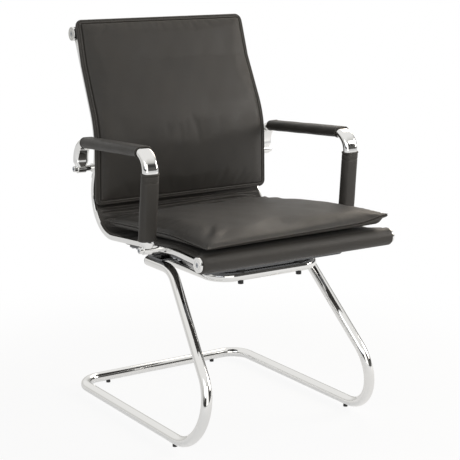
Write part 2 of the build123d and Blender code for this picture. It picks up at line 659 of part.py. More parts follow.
sling_stations = [
    front_along + SLING_LAP,
    front_along + SLING_NOSE,
    seam_along - SLING_TAPER,
    seam_along - SLING_LAP / 2,
]
sling_sections = []
for along in sling_stations:
    flat = seat_plane(along)
    half_w = rail_x(RAIL_T + 2 * GAP, flat.origin.Y, flat.origin.Z)
    top = pad_lift(along) - SEAT_PAD_SEAM_H - GAP - SLING_CROWN
    belly = SEAT_BELLY
    if along == sling_stations[-1]:
        top = SLING_T / 2
        belly = SLING_T / 2
    sling_sections.append(cushion_section(flat, half_w, SLING_SHOULDER, top, SLING_CROWN, belly, SLING_SAG))
seat_body = loft(sling_sections, ruled=True)
front_roll = rolled_end(FRONT_ROLL_R, FRONT_ROLL_EDGE_R, FRONT_ROLL, NOSE_RUN)
seat_sling = seat_body + front_roll + seat_welt
seat_sling -= cylinder_x(ROLL_BAR_D + 2 * BORE_GAP, -wide / 2, wide / 2, *FRONT_ROLL)
parts["seat_sling"] = seat_sling

# Seat pad: pillow with a seam at mid height and ears at its corners
end_insets = [0.0, 0.12, 0.4, 1.0]
pad_insets = [SEAT_PAD_SHOULDER * share for share in end_insets]
pad_stations = pad_insets + [SEAT_PAD_L / 2] + [SEAT_PAD_L - inset for inset in reversed(pad_insets)]
pad_sections = []
for station in pad_stations:
    inset = min(station, SEAT_PAD_L - station)
    share = 2 * station / SEAT_PAD_L - 1
    flat = seat_plane(pad_front + station, pad_lift(pad_front + station))
    half_w = rail_x(RAIL_T + SEAT_PAD_DRAW, flat.origin.Y, flat.origin.Z) + SEAT_PAD_EARS * share**4
    rise = shoulder_height(SEAT_PAD_TOP, SEAM_T / 2 + SEAM_LIFT, SEAT_PAD_SHOULDER, inset)
    fall = shoulder_height(SEAT_PAD_SEAM_H, SEAM_T / 2 + SEAM_LIFT, SEAT_PAD_SHOULDER, inset)
    crown = max(SEAT_PAD_CROWN * (1 - share**2), SEAM_LIFT)
    pad_sections.append(cushion_section(flat, half_w, SEAT_PAD_SHOULDER, rise, crown, fall, -HOLLOW))
parts["seat_pad"] = loft(pad_sections, ruled=True)

# Back pad: crowned cushion that hangs straight below the lumbar bend and rises over the top hem
lumbar_turn = atan2(LOW_BACK.Z, LOW_BACK.Y) - atan2(BACK_RUN.Z, BACK_RUN.Y)
lumbar_start = Vector(0, *LUMBAR) - LOW_BACK * LUMBAR_R * tan(lumbar_turn / 2)
hang_y = lumbar_start.Y + (LOW_BACK.Z - 1) * LUMBAR_R
hang_z = LUMBAR[1] + (hang_y - LUMBAR[0]) * BACK_RUN.Z / BACK_RUN.Y
pad_end = Vector(0, *TOP_ROLL) + BACK_RUN * BACK_PAD_ABOVE_ROLL
pad_path = side_path(0, [(hang_y, BACK_PAD_LOW_Z), (hang_y, hang_z), (pad_end.Y, pad_end.Z)], LUMBAR_R)
back_l = pad_path.length
roll_station = back_l - BACK_PAD_ABOVE_ROLL
hem_station = roll_station - TOP_HEM
pad_insets = [BACK_PAD_CORNER_R * share for share in end_insets]
middles = [back_l * share for share in (0.15, 0.25, 0.32, 0.39, 0.46, 0.53, 0.6)]
stations = pad_insets + middles + [hem_station, roll_station] + [back_l - inset for inset in pad_insets]
chord_gap = (back_l * 0.07) ** 2 / (8 * LUMBAR_R)
pad_sections = []
for station in sorted(stations):
    inset = min(station, back_l - station)
    share = 2 * station / back_l - 1
    spot = pad_path @ (station / back_l)
    run = pad_path % (station / back_l)
    hem_share = min(max((station - hem_station) / TOP_HEM, 0), 1)
    skin = SLING_T / 2 + (TOP_ROLL_R - SLING_T / 2) * hem_share + chord_gap + GAP
    forward = Vector(0, -run.Z, run.Y)
    away = max(BACK_PAD_CORNER_R - inset, 0)
    rounding = BACK_PAD_CORNER_R - sqrt(BACK_PAD_CORNER_R**2 - away**2)
    edge_x = rail_x(-BACK_PAD_OVERHANG, spot.Y, spot.Z)
    half_w = edge_x - rounding - BACK_PAD_DRAW * (1 - share**2)
    rise = shoulder_height(BACK_PAD_TOP, SEAM_T / 2 + SEAM_LIFT, BACK_PAD_CORNER_R, inset)
    fall = shoulder_height(BACK_PAD_SEAM_H, SEAM_T / 2 + SEAM_LIFT, BACK_PAD_CORNER_R, inset)
    crown = max(BACK_PAD_CROWN * (1 - share**2), SEAM_LIFT)
    seam_plane = Plane(origin=spot + forward * (skin + BACK_PAD_SEAM_H), x_dir=(1, 0, 0), z_dir=-run)
    pad_sections.append(cushion_section(seam_plane, half_w, BACK_PAD_SHOULDER, rise, crown, fall, -HOLLOW))
parts["back_pad"] = loft(pad_sections, ruled=True)

os.makedirs("parts", exist_ok=True)
for name, shape in parts.items():
    export_step(shape, "parts/" + name + ".step")
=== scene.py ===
"""Looks of a visitor chair: leather pads and slings on a bright tube frame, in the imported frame's metres."""

import json
import logging
import math
from dataclasses import dataclass
from enum import Enum

import bmesh
import bpy
import numpy as np
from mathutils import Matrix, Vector
from mathutils.kdtree import KDTree


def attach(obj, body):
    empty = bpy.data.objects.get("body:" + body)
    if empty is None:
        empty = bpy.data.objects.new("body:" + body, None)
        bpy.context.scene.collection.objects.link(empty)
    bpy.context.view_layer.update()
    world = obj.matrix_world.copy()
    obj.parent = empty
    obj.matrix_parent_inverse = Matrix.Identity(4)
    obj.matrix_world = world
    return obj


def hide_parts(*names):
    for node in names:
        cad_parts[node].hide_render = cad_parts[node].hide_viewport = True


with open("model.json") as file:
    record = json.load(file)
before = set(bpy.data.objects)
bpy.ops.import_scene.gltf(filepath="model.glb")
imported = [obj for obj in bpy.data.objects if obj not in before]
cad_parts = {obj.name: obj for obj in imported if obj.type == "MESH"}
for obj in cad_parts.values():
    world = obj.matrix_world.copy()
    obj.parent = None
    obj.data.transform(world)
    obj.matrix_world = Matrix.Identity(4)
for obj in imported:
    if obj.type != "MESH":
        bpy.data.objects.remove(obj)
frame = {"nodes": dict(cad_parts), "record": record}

LOG = logging.getLogger("visitor_chair")
MM = 0.001
BODY = "root"
TOP_ROLL_R = 16.5 * MM
FRONT_ROLL_R = 20.5 * MM


class Side(Enum):
    """The sitter's left and right, as the sign of X."""

    LEFT = 1
    RIGHT = -1


class Slot(Enum):
    """Material slots of the record."""

    CHROME = "chrome"
    LEATHER = "leather"
    PLASTIC = "plastic"
    RUBBER = "rubber"
    ZINC = "zinc_steel"
    STRIP = "plated_steel"
    BAR = "bar"


def linear(code: str) -> tuple[float, float, float, float]:
    """Turn an sRGB hex colour into linear light.

    Args:
        code: Six hex digits after a hash.

    Returns:
        Red, green, blue and a full alpha.
    """
    values = [int(code[i : i + 2], 16) / 255 for i in (1, 3, 5)]
    lit = [v / 12.92 if v <= 0.04045 else ((v + 0.055) / 1.055) ** 2.4 for v in values]
    return (lit[0], lit[1], lit[2], 1.0)


def add(
    tree: bpy.types.NodeTree, kind: str, inputs: dict | None = None, **settings: object
) -> bpy.types.Node:
    """Add a node with its settings, and set or link its inputs.

    Args:
        tree: Node tree that gets the node.
        kind: Blender's name of the node type.
        inputs: Value or output socket for each input, by name or number.
        settings: Properties of the node itself.

    Returns:
        The new node.
    """
    node = tree.nodes.new(kind)
    for name, value in settings.items():
        setattr(node, name, value)
    for name, value in (inputs or {}).items():
        if isinstance(value, bpy.types.NodeSocket):
            tree.links.new(value, node.inputs[name])
        else:
            node.inputs[name].default_value = value
    return node


def blank_material(name: str) -> tuple[bpy.types.Material, bpy.types.NodeTree]:
    """Make an empty node material.

    Args:
        name: Name of the material.

    Returns:
        The material and its tree.
    """
    material = bpy.data.materials.new(name)
    material.use_nodes = True
    material.node_tree.nodes.clear()
    return material, material.node_tree


def grain(
    tree: bpy.types.NodeTree, size_mm: float, inputs: dict, kind: str = "Noise", **settings: str
) -> bpy.types.Node:
    """Add a texture in the piece's own coordinates.

    Args:
        tree: Tree of the material.
        size_mm: Size of a spot of the texture, in millimetres.
        inputs: Its other inputs.
        kind: Blender's name of the texture.
        settings: Properties of the texture node.

    Returns:
        The texture node.
    """
    place = add(tree, "ShaderNodeTexCoord").outputs["Object"]
    given = {"Vector": place, "Scale": 1 / (size_mm * MM), **inputs}
    return add(tree, f"ShaderNodeTex{kind}", given, **settings)


def remap(
    tree: bpy.types.NodeTree,
    value: bpy.types.NodeSocket,
    source: tuple[float, float],
    target: tuple[float, float] = (0.0, 1.0),
    **settings: str,
) -> bpy.types.NodeSocket:
    """Map a value from one range to another, held at both ends.

    Args:
        tree: Tree of the material.
        value: The value.
        source: Range that it has.
        target: Range that it gets.
        settings: Properties of the node.

    Returns:
        The mapped value.
    """
    limits = dict(zip(("From Min", "From Max", "To Min", "To Max"), source + target))
    return add(tree, "ShaderNodeMapRange", {"Value": value, **limits}, **settings).outputs["Result"]


def bump(
    tree: bpy.types.NodeTree, height: bpy.types.NodeSocket, strength: float, depth_mm: float, **inputs: object
) -> bpy.types.NodeSocket:
    """Turn a height into a bumped normal.

    Args:
        tree: Tree of the material.
        height: The height, from 0 to 1.
        strength: How much of the bump shows.
        depth_mm: Depth of a full height, in millimetres.
        inputs: Other inputs, such as a normal to start from.

    Returns:
        The bumped normal.
    """
    given = {"Strength": strength, "Distance": depth_mm * MM, "Height": height, **inputs}
    return add(tree, "ShaderNodeBump", given).outputs["Normal"]


def surface(tree: bpy.types.NodeTree, inputs: dict) -> None:
    """Close a material with one principled shader."""
    shader = add(tree, "ShaderNodeBsdfPrincipled", inputs)
    add(tree, "ShaderNodeOutputMaterial", {"Surface": shader.outputs["BSDF"]})


@dataclass(frozen=True)
class Leather:
    """Coated upholstery leather, embossed with a fine pebble grain: soft sheen, paler on convex crests and
    edges, partly from scuffing and partly as a painted highlight.
    """

    name: str = "coated_leather_embossed"
    colour: str = "#2e2c29"
    # Paler colour of scuffed leather, also laid on crests and edges as a painted highlight
    worn_and_highlight: str = "#4d473f"
    grain_mm: float = 1.5
    crease_mm: float = 9.0
    mottle_mm: float = 70.0
    mottle: tuple[float, float] = (0.3, 0.7)
    mottle_wear: float = 0.12
    # Pointiness range of the crests and edges that get the scuffing and the painted highlight
    rubbed_and_highlight: tuple[float, float] = (0.5, 0.62)
    roughness: tuple[float, float] = (0.45, 0.55)
    pebble_edge: float = 0.22
    grain_depth: float = 0.2
    crease_depth: float = 0.1

    def build(self) -> bpy.types.Material:
        """Build the node material.

        Returns:
            The leather material.
        """
        material, tree = blank_material(self.name)
        mottle = grain(tree, self.mottle_mm, {"Detail": 4.0, "Roughness": 0.55}).outputs["Fac"]
        # The pebbles are drawn about twice their real 0.7 mm, so that they show in a whole view of the chair
        cells = grain(tree, self.grain_mm, {"Randomness": 0.9}, "Voronoi", feature="DISTANCE_TO_EDGE")
        pebble = remap(
            tree, cells.outputs["Distance"], (0.0, self.pebble_edge), interpolation_type="SMOOTHSTEP"
        )
        crease = grain(tree, self.crease_mm, {"Detail": 3.0, "Distortion": 0.6}).outputs["Fac"]
        # Convex crests and edges, found by pointiness, get the paler colour: partly scuffing, partly a painted
        # highlight where light would catch them
        edge = remap(tree, add(tree, "ShaderNodeNewGeometry").outputs["Pointiness"], self.rubbed_and_highlight)
        rub_and_highlight = add(tree, "ShaderNodeMath", {0: edge, 1: mottle}, operation="MULTIPLY", use_clamp=True)
        shade = remap(tree, mottle, self.mottle, (0.0, self.mottle_wear))
        wear_and_highlight = add(tree, "ShaderNodeMath", {0: shade, 1: rub_and_highlight.outputs["Value"]}, operation="ADD")
        tone = add(
            tree,
            "ShaderNodeMix",
            {"Factor": wear_and_highlight.outputs["Value"], "A": linear(self.colour), "B": linear(self.worn_and_highlight)},
            data_type="RGBA",
        )
        soft = bump(tree, crease, self.crease_depth, 1.2)
        surface(
            tree,
            {
                "Base Color": tone.outputs["Result"],
                "Roughness": remap(tree, mottle, self.mottle, self.roughness),
                "Normal": bump(tree, pebble, self.grain_depth, 0.4, Normal=soft),
                "IOR": 1.45,
                "Sheen Weight": 0.05,
                "Sheen Roughness": 0.4,
            },
        )
        return material


@dataclass(frozen=True)
class BrightMetal:
    """Plated or drawn metal: a mirror or satin surface with faint polishing marks and smudges."""

    name: str
    colour: str
    roughness: tuple[float, float]
    smudge_mm: float
    scratch_mm: float
    scratch_depth: float
    smudge: tuple[float, float] = (0.35, 0.7)

    def build(self) -> bpy.types.Material:
        """Build the node material.

        Returns:
            The metal material.
        """
        material, tree = blank_material(self.name)
        smudge = grain(tree, self.smudge_mm, {"Detail": 5.0, "Roughness": 0.6}).outputs["Fac"]
        marks = grain(tree, self.scratch_mm, {"Detail": 2.0}).outputs["Fac"]
        surface(
            tree,
            {
                "Base Color": linear(self.colour),
                "Metallic": 1.0,
                "Roughness": remap(tree, smudge, self.smudge, self.roughness),
                "Normal": bump(tree, marks, self.scratch_depth, 0.05),
            },
        )
        return material


@dataclass(frozen=True)
class Moulding:
    """Moulded black plastic or rubber: dull, with the fine spark texture of its mould."""

    name: str
    colour: str
    roughness: float
    texture_mm: float
    depth: float
    spread: float = 0.08

    def build(self) -> bpy.types.Material:
        """Build the node material.

        Returns:
            The moulded material.
        """
        material, tree = blank_material(self.name)
        spark = grain(tree, self.texture_mm, {"Detail": 3.0}).outputs["Fac"]
        gloss = (self.roughness - self.spread, self.roughness + self.spread)
        surface(
            tree,
            {
                "Base Color": linear(self.colour),
                "Roughness": remap(tree, spark, (0.0, 1.0), gloss),
                "Normal": bump(tree, spark, self.depth, 0.15),
                "IOR": 1.5,
            },
        )
        return material


@dataclass(frozen=True)
class Thread:
    """Twisted polyester sewing thread: dull, with the twist showing as fine slanting ribs."""

    name: str = "polyester_thread_twisted"
    colour: str = "#4b4946"
    twist_mm: float = 0.9

    def build(self) -> bpy.types.Material:
        """Build the node material.

        Returns:
            The thread material.
        """
        material, tree = blank_material(self.name)
        ribs = grain(tree, self.twist_mm, {"Distortion": 1.0}, "Wave", bands_direction="DIAGONAL")
        surface(
            tree,
            {
                "Base Color": linear(self.colour),
                "Roughness": 0.62,
                "Normal": bump(tree, ribs.outputs["Fac"], 0.3, 0.1),
                "Sheen Weight": 0.25,
            },
        )
        return material


FINISHES: dict[Slot, object] = {
    Slot.CHROME: BrightMetal("chrome_plate_polished", "#ebebea", (0.025, 0.06), 45.0, 2.0, 0.03),
    Slot.LEATHER: Leather(),
    Slot.PLASTIC: Moulding("polypropylene_moulded", "#161616", 0.5, 0.9, 0.25),
    Slot.RUBBER: Moulding("rubber_moulded", "#1a1a1a", 0.75, 1.4, 0.3),
    Slot.ZINC: BrightMetal("zinc_plate_bright", "#b9bcc0", (0.18, 0.32), 12.0, 0.8, 0.15),
    # The plated strip's colour is darkened to a mid grey as painted shade, standing in for the dark under the
    # seat where the strips sit
    Slot.STRIP: BrightMetal("steel_strip_plated_shade_darkened", "#626365", (0.2, 0.32), 30.0, 1.2, 0.12),
    Slot.BAR: BrightMetal("aluminium_bar_drawn", "#b6b8ba", (0.28, 0.4), 25.0, 0.7, 0.2),
}


def unit(vector: np.ndarray) -> np.ndarray:
    """Scale a vector to length one."""
    return vector / np.linalg.norm(vector)


def smooth(value: np.ndarray, low: float, high: float) -> np.ndarray:
    """Rise softly from 0 at low to 1 at high."""
    share = np.clip((value - low) / (high - low), 0.0, 1.0)
    return share * share * (3.0 - 2.0 * share)


def hump(value: np.ndarray, centre: float | np.ndarray, width: float) -> np.ndarray:
    """Bell of height 1 round a centre."""
    return np.exp(-(((value - centre) / width) ** 2))


def ripple(a: np.ndarray, b: np.ndarray, size: float, seed: float) -> np.ndarray:
    """Slow uneven waves between about -1 and 1 over a surface.

    Args:
        a: First surface coordinate, in metres.
        b: Second surface coordinate, in metres.
        size: Typical length of a wave, in metres.
        seed: Shifts the waves, so that no two pieces match.

    Returns:
        Height of the waves at each point.
    """
    k = 2.0 * math.pi / size
    waves = np.sin(k * (0.93 * a + 0.31 * b) + 1.7 * seed)
    waves = waves + np.sin(k * (0.47 * b - 0.83 * a) * 1.37 + 2.9 * seed)
    waves = waves + np.sin(k * (0.71 * b + 0.52 * a) * 0.71 + 4.3 * seed)
    return waves / 3.0


class SideLine:
    """A line in the chair's side view, through (Y, Z) corners that are rounded."""

    def __init__(self, corners: list[tuple[float, float]], radii: list[float]) -> None:
        """Lay out the runs and bends.

        Args:
            corners: Corner points, in metres.
            radii: Bend radius at each corner between the two ends.
        """
        points = [np.array(corners[0], float)]
        self.spans = [0.0]
        for before, corner, after, radius in zip(corners, corners[1:], corners[2:], radii):
            middle = np.array(corner, float)
            back = unit(np.array(before, float) - middle)
            ahead = unit(np.array(after, float) - middle)
            half = math.acos(float(np.clip(back @ ahead, -1, 1))) / 2
            start = middle + back * radius / math.tan(half)
            centre = middle + unit(back + ahead) * radius / math.sin(half)
            first = math.atan2(start[1] - centre[1], start[0] - centre[0])
            end = middle + ahead * radius / math.tan(half)
            last = math.atan2(end[1] - centre[1], end[0] - centre[0])
            turn = (last - first + math.pi) % (2 * math.pi) - math.pi
            self.spans.append(self.spans[-1] + float(np.linalg.norm(start - points[-1])))
            self.spans.append(self.spans[-1] + abs(turn) * radius)
            for share in np.linspace(0, 1, 161):
                angle = first + turn * share
                points.append(centre + radius * np.array([math.cos(angle), math.sin(angle)]))
        points.append(np.array(corners[-1], float))
        self.spans.append(self.spans[-1] + float(np.linalg.norm(points[-1] - points[-2])))
        self.points = np.array(points)
        steps = np.linalg.norm(np.diff(self.points, axis=0), axis=1)
        self.marks = np.concatenate([[0.0], np.cumsum(steps)])
        self.length = float(self.marks[-1])

    def spot(self, along: np.ndarray) -> np.ndarray:
        """Find points along the line, carried straight on past its ends.

        Args:
            along: Distances from its start.

        Returns:
            Y and Z of each point.
        """
        inside = np.clip(along, 0.0, self.length)
        place = np.stack([np.interp(inside, self.marks, self.points[:, i]) for i in (0, 1)], axis=-1)
        first = unit(self.points[1] - self.points[0])
        last = unit(self.points[-1] - self.points[-2])
        over = np.maximum(along - self.length, 0.0)[..., None]
        under = np.minimum(along, 0.0)[..., None]
        return place + over * last + under * first

    def run(self, along: np.ndarray) -> np.ndarray:
        """Find the directions of the line.

        Args:
            along: Distances from its start.

        Returns:
            Unit vector at each distance, in Y and Z.
        """
        reach = 0.8 * MM
        step = self.spot(along + reach) - self.spot(along - reach)
        return step / np.linalg.norm(step, axis=-1, keepdims=True)


@dataclass
class SideRails:
    """Outline and slant of the two side rails, which everything soft hangs on."""

    thick: float = 10.0 * MM
    out_x: float = 248.0 * MM
    level: float = 445.0 * MM
    lean_deg: float = 0.82
    toe_deg: float = 1.5
    front_roll: tuple[float, float] = (-303.75 * MM, 453.8 * MM)
    crest: tuple[float, float] = (-184.0 * MM, 458.0 * MM)
    corner: tuple[float, float] = (248.5 * MM, 420.0 * MM)
    lumbar: tuple[float, float] = (189.75 * MM, 652.0 * MM)
    top_roll: tuple[float, float] = (307.25 * MM, 902.0 * MM)
    crest_r: float = 400.0 * MM
    corner_r: float = 96.0 * MM
    lumbar_r: float = 210.0 * MM
    seam_y: float = 66.0 * MM

    def __post_init__(self) -> None:
        """Work out the slant of the left rail and the main directions."""
        tip, toe = math.radians(-self.lean_deg), math.radians(self.toe_deg)
        about_y = np.array([[math.cos(tip), 0, math.sin(tip)], [0, 1, 0], [-math.sin(tip), 0, math.cos(tip)]])
        about_z = np.array([[math.cos(toe), -math.sin(toe), 0], [math.sin(toe), math.cos(toe), 0], [0, 0, 1]])
        self.turn = about_y @ about_z
        self.pivot = np.array([self.out_x, 0.0, self.level])
        self.seat_run = unit(np.array(self.corner) - np.array(self.crest))
        self.low_back = unit(np.array(self.lumbar) - np.array(self.corner))
        self.back_run = unit(np.array(self.top_roll) - np.array(self.lumbar))
        slope = self.seat_run[1] / self.seat_run[0]
        self.seam = (self.seam_y, self.crest[1] + (self.seam_y - self.crest[0]) * slope)

    def lean(self, points: np.ndarray, side: Side = Side.LEFT) -> np.ndarray:
        """Put points drawn upright and square on the left at the slant of a rail.

        Args:
            points: Points whose last axis is X, Y, Z.
            side: Side of the chair that they go to.

        Returns:
            The slanted points.
        """
        turned = (points - self.pivot) @ self.turn.T + self.pivot
        return turned * np.array([side.value, 1, 1])

    def face_x(self, depth: float | np.ndarray, y: np.ndarray, z: np.ndarray) -> np.ndarray:
        """X, on the left, of the plane at a depth below the rail's outer face.

        Args:
            depth: Depth below the outer face.
            y: Y of each point.
            z: Z of each point.

        Returns:
            X of each point.
        """
        out = self.turn[:, 0]
        return self.pivot[0] - depth / out[0] - (out[1] * y + out[2] * (z - self.pivot[2])) / out[0]


def quads(index: np.ndarray) -> np.ndarray:
    """Four-cornered faces of a grid of vertex numbers."""
    corners = (index[:-1, :-1], index[:-1, 1:], index[1:, 1:], index[1:, :-1])
    return np.stack(corners, axis=-1).reshape(-1, 4)


def mesh_object(name: str, points: np.ndarray, faces: np.ndarray) -> bpy.types.Object:
    """Make a smooth mesh object whose faces point outwards.

    Args:
        name: Name of the object.
        points: Vertex places, in metres.
        faces: Vertex numbers of each face.

    Returns:
        The object, linked to the scene.
    """
    mesh = bpy.data.meshes.new(name)
    mesh.from_pydata(points.tolist(), [], faces.tolist())
    shell = bmesh.new()
    shell.from_mesh(mesh)
    bmesh.ops.remove_doubles(shell, verts=shell.verts, dist=0.01 * MM)
    bmesh.ops.recalc_face_normals(shell, faces=shell.faces)
    shell.to_mesh(mesh)
    shell.free()
    mesh.shade_smooth()
    piece = bpy.data.objects.new(name, mesh)
    bpy.context.scene.collection.objects.link(piece)
    return piece


def closed_pillow(name: str, upper: np.ndarray, lower: np.ndarray) -> bpy.types.Object:
    """Close two grids that share their border into one shell.

    Args:
        name: Name of the object.
        upper: Grid of points of one face.
        lower: Grid of points of the other face, with the same border.

    Returns:
        The closed mesh object.
    """
    rows, cols = upper.shape[:2]
    over = np.arange(rows * cols).reshape(rows, cols)
    under = over.copy()
    inner = lower[1:-1, 1:-1].reshape(-1, 3)
    under[1:-1, 1:-1] = rows * cols + np.arange(len(inner)).reshape(rows - 2, cols - 2)
    points = np.concatenate([upper.reshape(-1, 3), inner])
    return mesh_object(name, points, np.concatenate([quads(over), quads(under)[:, ::-1]]))


def closed_tube(name: str, rings: np.ndarray) -> bpy.types.Object:
    """Skin closed rings, joining the last one to the first.

    Args:
        name: Name of the object.
        rings: Points of each ring in turn.

    Returns:
        The closed mesh object.
    """
    rows, cols = rings.shape[:2]
    index = np.arange(rows * cols).reshape(rows, cols)
    index = np.concatenate([index, index[:1]])
    index = np.concatenate([index, index[:, :1]], axis=1)
    return mesh_object(name, rings.reshape(-1, 3), quads(index))


def edge_lines(length: float, steps: list[float], pitch: float) -> np.ndarray:
    """Grid lines over a length, crowded near both ends.

    Args:
        length: Full length.
        steps: Distances of the crowded lines from an end.
        pitch: Rough spacing of the lines between.

    Returns:
        Places of the lines, from 0 to the length.
    """
    first = np.array(steps)
    count = max(int(round((length - 2 * first[-1]) / pitch)), 2)
    middle = np.linspace(first[-1], length - first[-1], count + 1)[1:-1]
    return np.concatenate([first, middle, length - first[::-1]])


def dress(piece: bpy.types.Object, material: bpy.types.Material, slot: Slot, *nodes: str) -> bpy.types.Object:
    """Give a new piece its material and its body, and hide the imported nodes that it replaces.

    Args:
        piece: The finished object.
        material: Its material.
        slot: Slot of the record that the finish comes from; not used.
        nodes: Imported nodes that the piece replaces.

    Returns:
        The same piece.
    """
    piece.data.materials.clear()
    piece.data.materials.append(material)
    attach(piece, BODY)
    if nodes:
        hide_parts(*nodes)
    LOG.info("%s: %d faces", piece.name, len(piece.data.polygons))
    return piece


@dataclass
class StitchRow:
    """Rows of sewn thread, each stitch a small rounded grain along a line."""

    pitch: float = 5.0 * MM
    length: float = 3.6 * MM
    thick: float = 0.9 * MM

    def tree(self) -> bpy.types.NodeTree:
        """Build the node tree that lays stitches along the edges of a mesh.

        Returns:
            The node tree, with its sizes as named inputs.
        """
        tree = bpy.data.node_groups.new("stitch_row", "GeometryNodeTree")
        tree.interface.new_socket(name="Line", in_out="INPUT", socket_type="NodeSocketGeometry")
        for name in ("Pitch", "Length", "Thickness"):
            tree.interface.new_socket(name=name, in_out="INPUT", socket_type="NodeSocketFloat")
        tree.interface.new_socket(name="Thread", in_out="INPUT", socket_type="NodeSocketMaterial")
        tree.interface.new_socket(name="Stitches", in_out="OUTPUT", socket_type="NodeSocketGeometry")
        given = add(tree, "NodeGroupInput").outputs
        curve = add(tree, "GeometryNodeMeshToCurve", {"Mesh": given["Line"]})
        spacing = {"Curve": curve.outputs["Curve"], "Length": given["Pitch"]}
        even = add(tree, "GeometryNodeResampleCurve", spacing, mode="LENGTH")
        tangent = add(tree, "GeometryNodeInputTangent").outputs["Tangent"]
        facing = add(tree, "FunctionNodeAlignRotationToVector", {"Vector": tangent}, axis="X")
        bead = add(tree, "GeometryNodeMeshUVSphere", {"Segments": 6, "Rings": 4, "Radius": 0.5})
        sizes = {"X": given["Length"], "Y": given["Thickness"], "Z": given["Thickness"]}
        scale = add(tree, "ShaderNodeCombineXYZ", sizes)
        placed = add(
            tree,
            "GeometryNodeInstanceOnPoints",
            {
                "Points": even.outputs["Curve"],
                "Instance": bead.outputs["Mesh"],
                "Rotation": facing.outputs["Rotation"],
                "Scale": scale.outputs["Vector"],
            },
        )
        real = add(tree, "GeometryNodeRealizeInstances", {"Geometry": placed.outputs["Instances"]})
        threaded = {"Geometry": real.outputs["Geometry"], "Material": given["Thread"]}
        sewn = add(tree, "GeometryNodeSetMaterial", threaded)
        add(tree, "NodeGroupOutput", {"Stitches": sewn.outputs["Geometry"]})
        return tree

    def sew(self, name: str, lines: list[np.ndarray], thread: bpy.types.Material) -> bpy.types.Object:
        """Sew stitches along lines of points.

        Args:
            name: Name of the stitched piece.
            lines: Points of each row, in metres.
            thread: Material of the thread.

        Returns:
            A plain mesh object that holds all the stitches.
        """
        points: list[list[float]] = []
        edges: list[tuple[int, int]] = []
        for line in lines:
            start = len(points)
            points += line.tolist()
            edges += [(start + i, start + i + 1) for i in range(len(line) - 1)]
        mesh = bpy.data.meshes.new(name + "_line")
        mesh.from_pydata(points, edges, [])
        carrier = bpy.data.objects.new(name + "_line", mesh)
        bpy.context.scene.collection.objects.link(carrier)
        tree = bpy.data.node_groups.get("stitch_row") or self.tree()
        modifier = carrier.modifiers.new("stitches", "NODES")
        modifier.node_group = tree
        values = {"Pitch": self.pitch, "Length": self.length, "Thickness": self.thick, "Thread": thread}
        for item in tree.interface.items_tree:
            if item.in_out == "INPUT" and item.name in values:
                modifier[item.identifier] = values[item.name]
        graph = bpy.context.evaluated_depsgraph_get()
        sewn = bpy.data.meshes.new_from_object(carrier.evaluated_get(graph))
        sewn.name = name
        bpy.data.objects.remove(carrier)
        sewn.shade_smooth()
        piece = bpy.data.objects.new(name, sewn)
        bpy.context.scene.collection.objects.link(piece)
        return piece


@dataclass(frozen=True)
class Filling:
    """Cloth simulation in which a cover settles over its filling while its seams and rear stay held."""

    pressure: float = 3.0
    spare: float = 0.003
    frames: int = 20
    steps: int = 6
    reach: float = 0.05 * MM

    def settle(self, piece: bpy.types.Object, held: np.ndarray, limit: float) -> None:
        """Blow the cover out against its seams and keep the result in its mesh.

        Args:
            piece: The closed cover.
            held: Points that stay in place.
            limit: How far a point may move.
        """
        tree = KDTree(len(held))
        for number, point in enumerate(held.tolist()):
            tree.insert(point, number)
        tree.balance()
        pins = [vertex.index for vertex in piece.data.vertices if tree.find(vertex.co)[2] < self.reach]
        group = piece.vertex_groups.new(name="held")
        group.add(pins, 1.0, "REPLACE")
        cloth = piece.modifiers.new("filling", "CLOTH")
        cloth.settings.vertex_group_mass = group.name
        cloth.settings.quality = self.steps
        cloth.settings.use_pressure = True
        cloth.settings.uniform_pressure_force = self.pressure
        cloth.settings.shrink_min = -self.spare
        cloth.settings.effector_weights.gravity = 0.0
        cloth.collision_settings.use_collision = False
        cloth.point_cache.frame_start = 1
        cloth.point_cache.frame_end = self.frames
        scene = bpy.context.scene
        for frame_number in range(1, self.frames + 1):
            scene.frame_set(frame_number)
        blown = piece.evaluated_get(bpy.context.evaluated_depsgraph_get()).data
        before, after = (np.empty(3 * len(piece.data.vertices)) for _ in range(2))
        piece.data.vertices.foreach_get("co", before)
        blown.vertices.foreach_get("co", after)
        move = (after - before).reshape(-1, 3)
        far = np.linalg.norm(move, axis=1, keepdims=True)
        move = move * np.minimum(1, limit / np.maximum(far, self.reach))
        piece.modifiers.remove(cloth)
        piece.vertex_groups.remove(group)
        piece.data.vertices.foreach_set("co", before + move.ravel())
        piece.data.update()
        scene.frame_set(1)
        LOG.info("%s settled, %d points held, most moved %.2f mm", piece.name, len(pins), far.max() / MM)


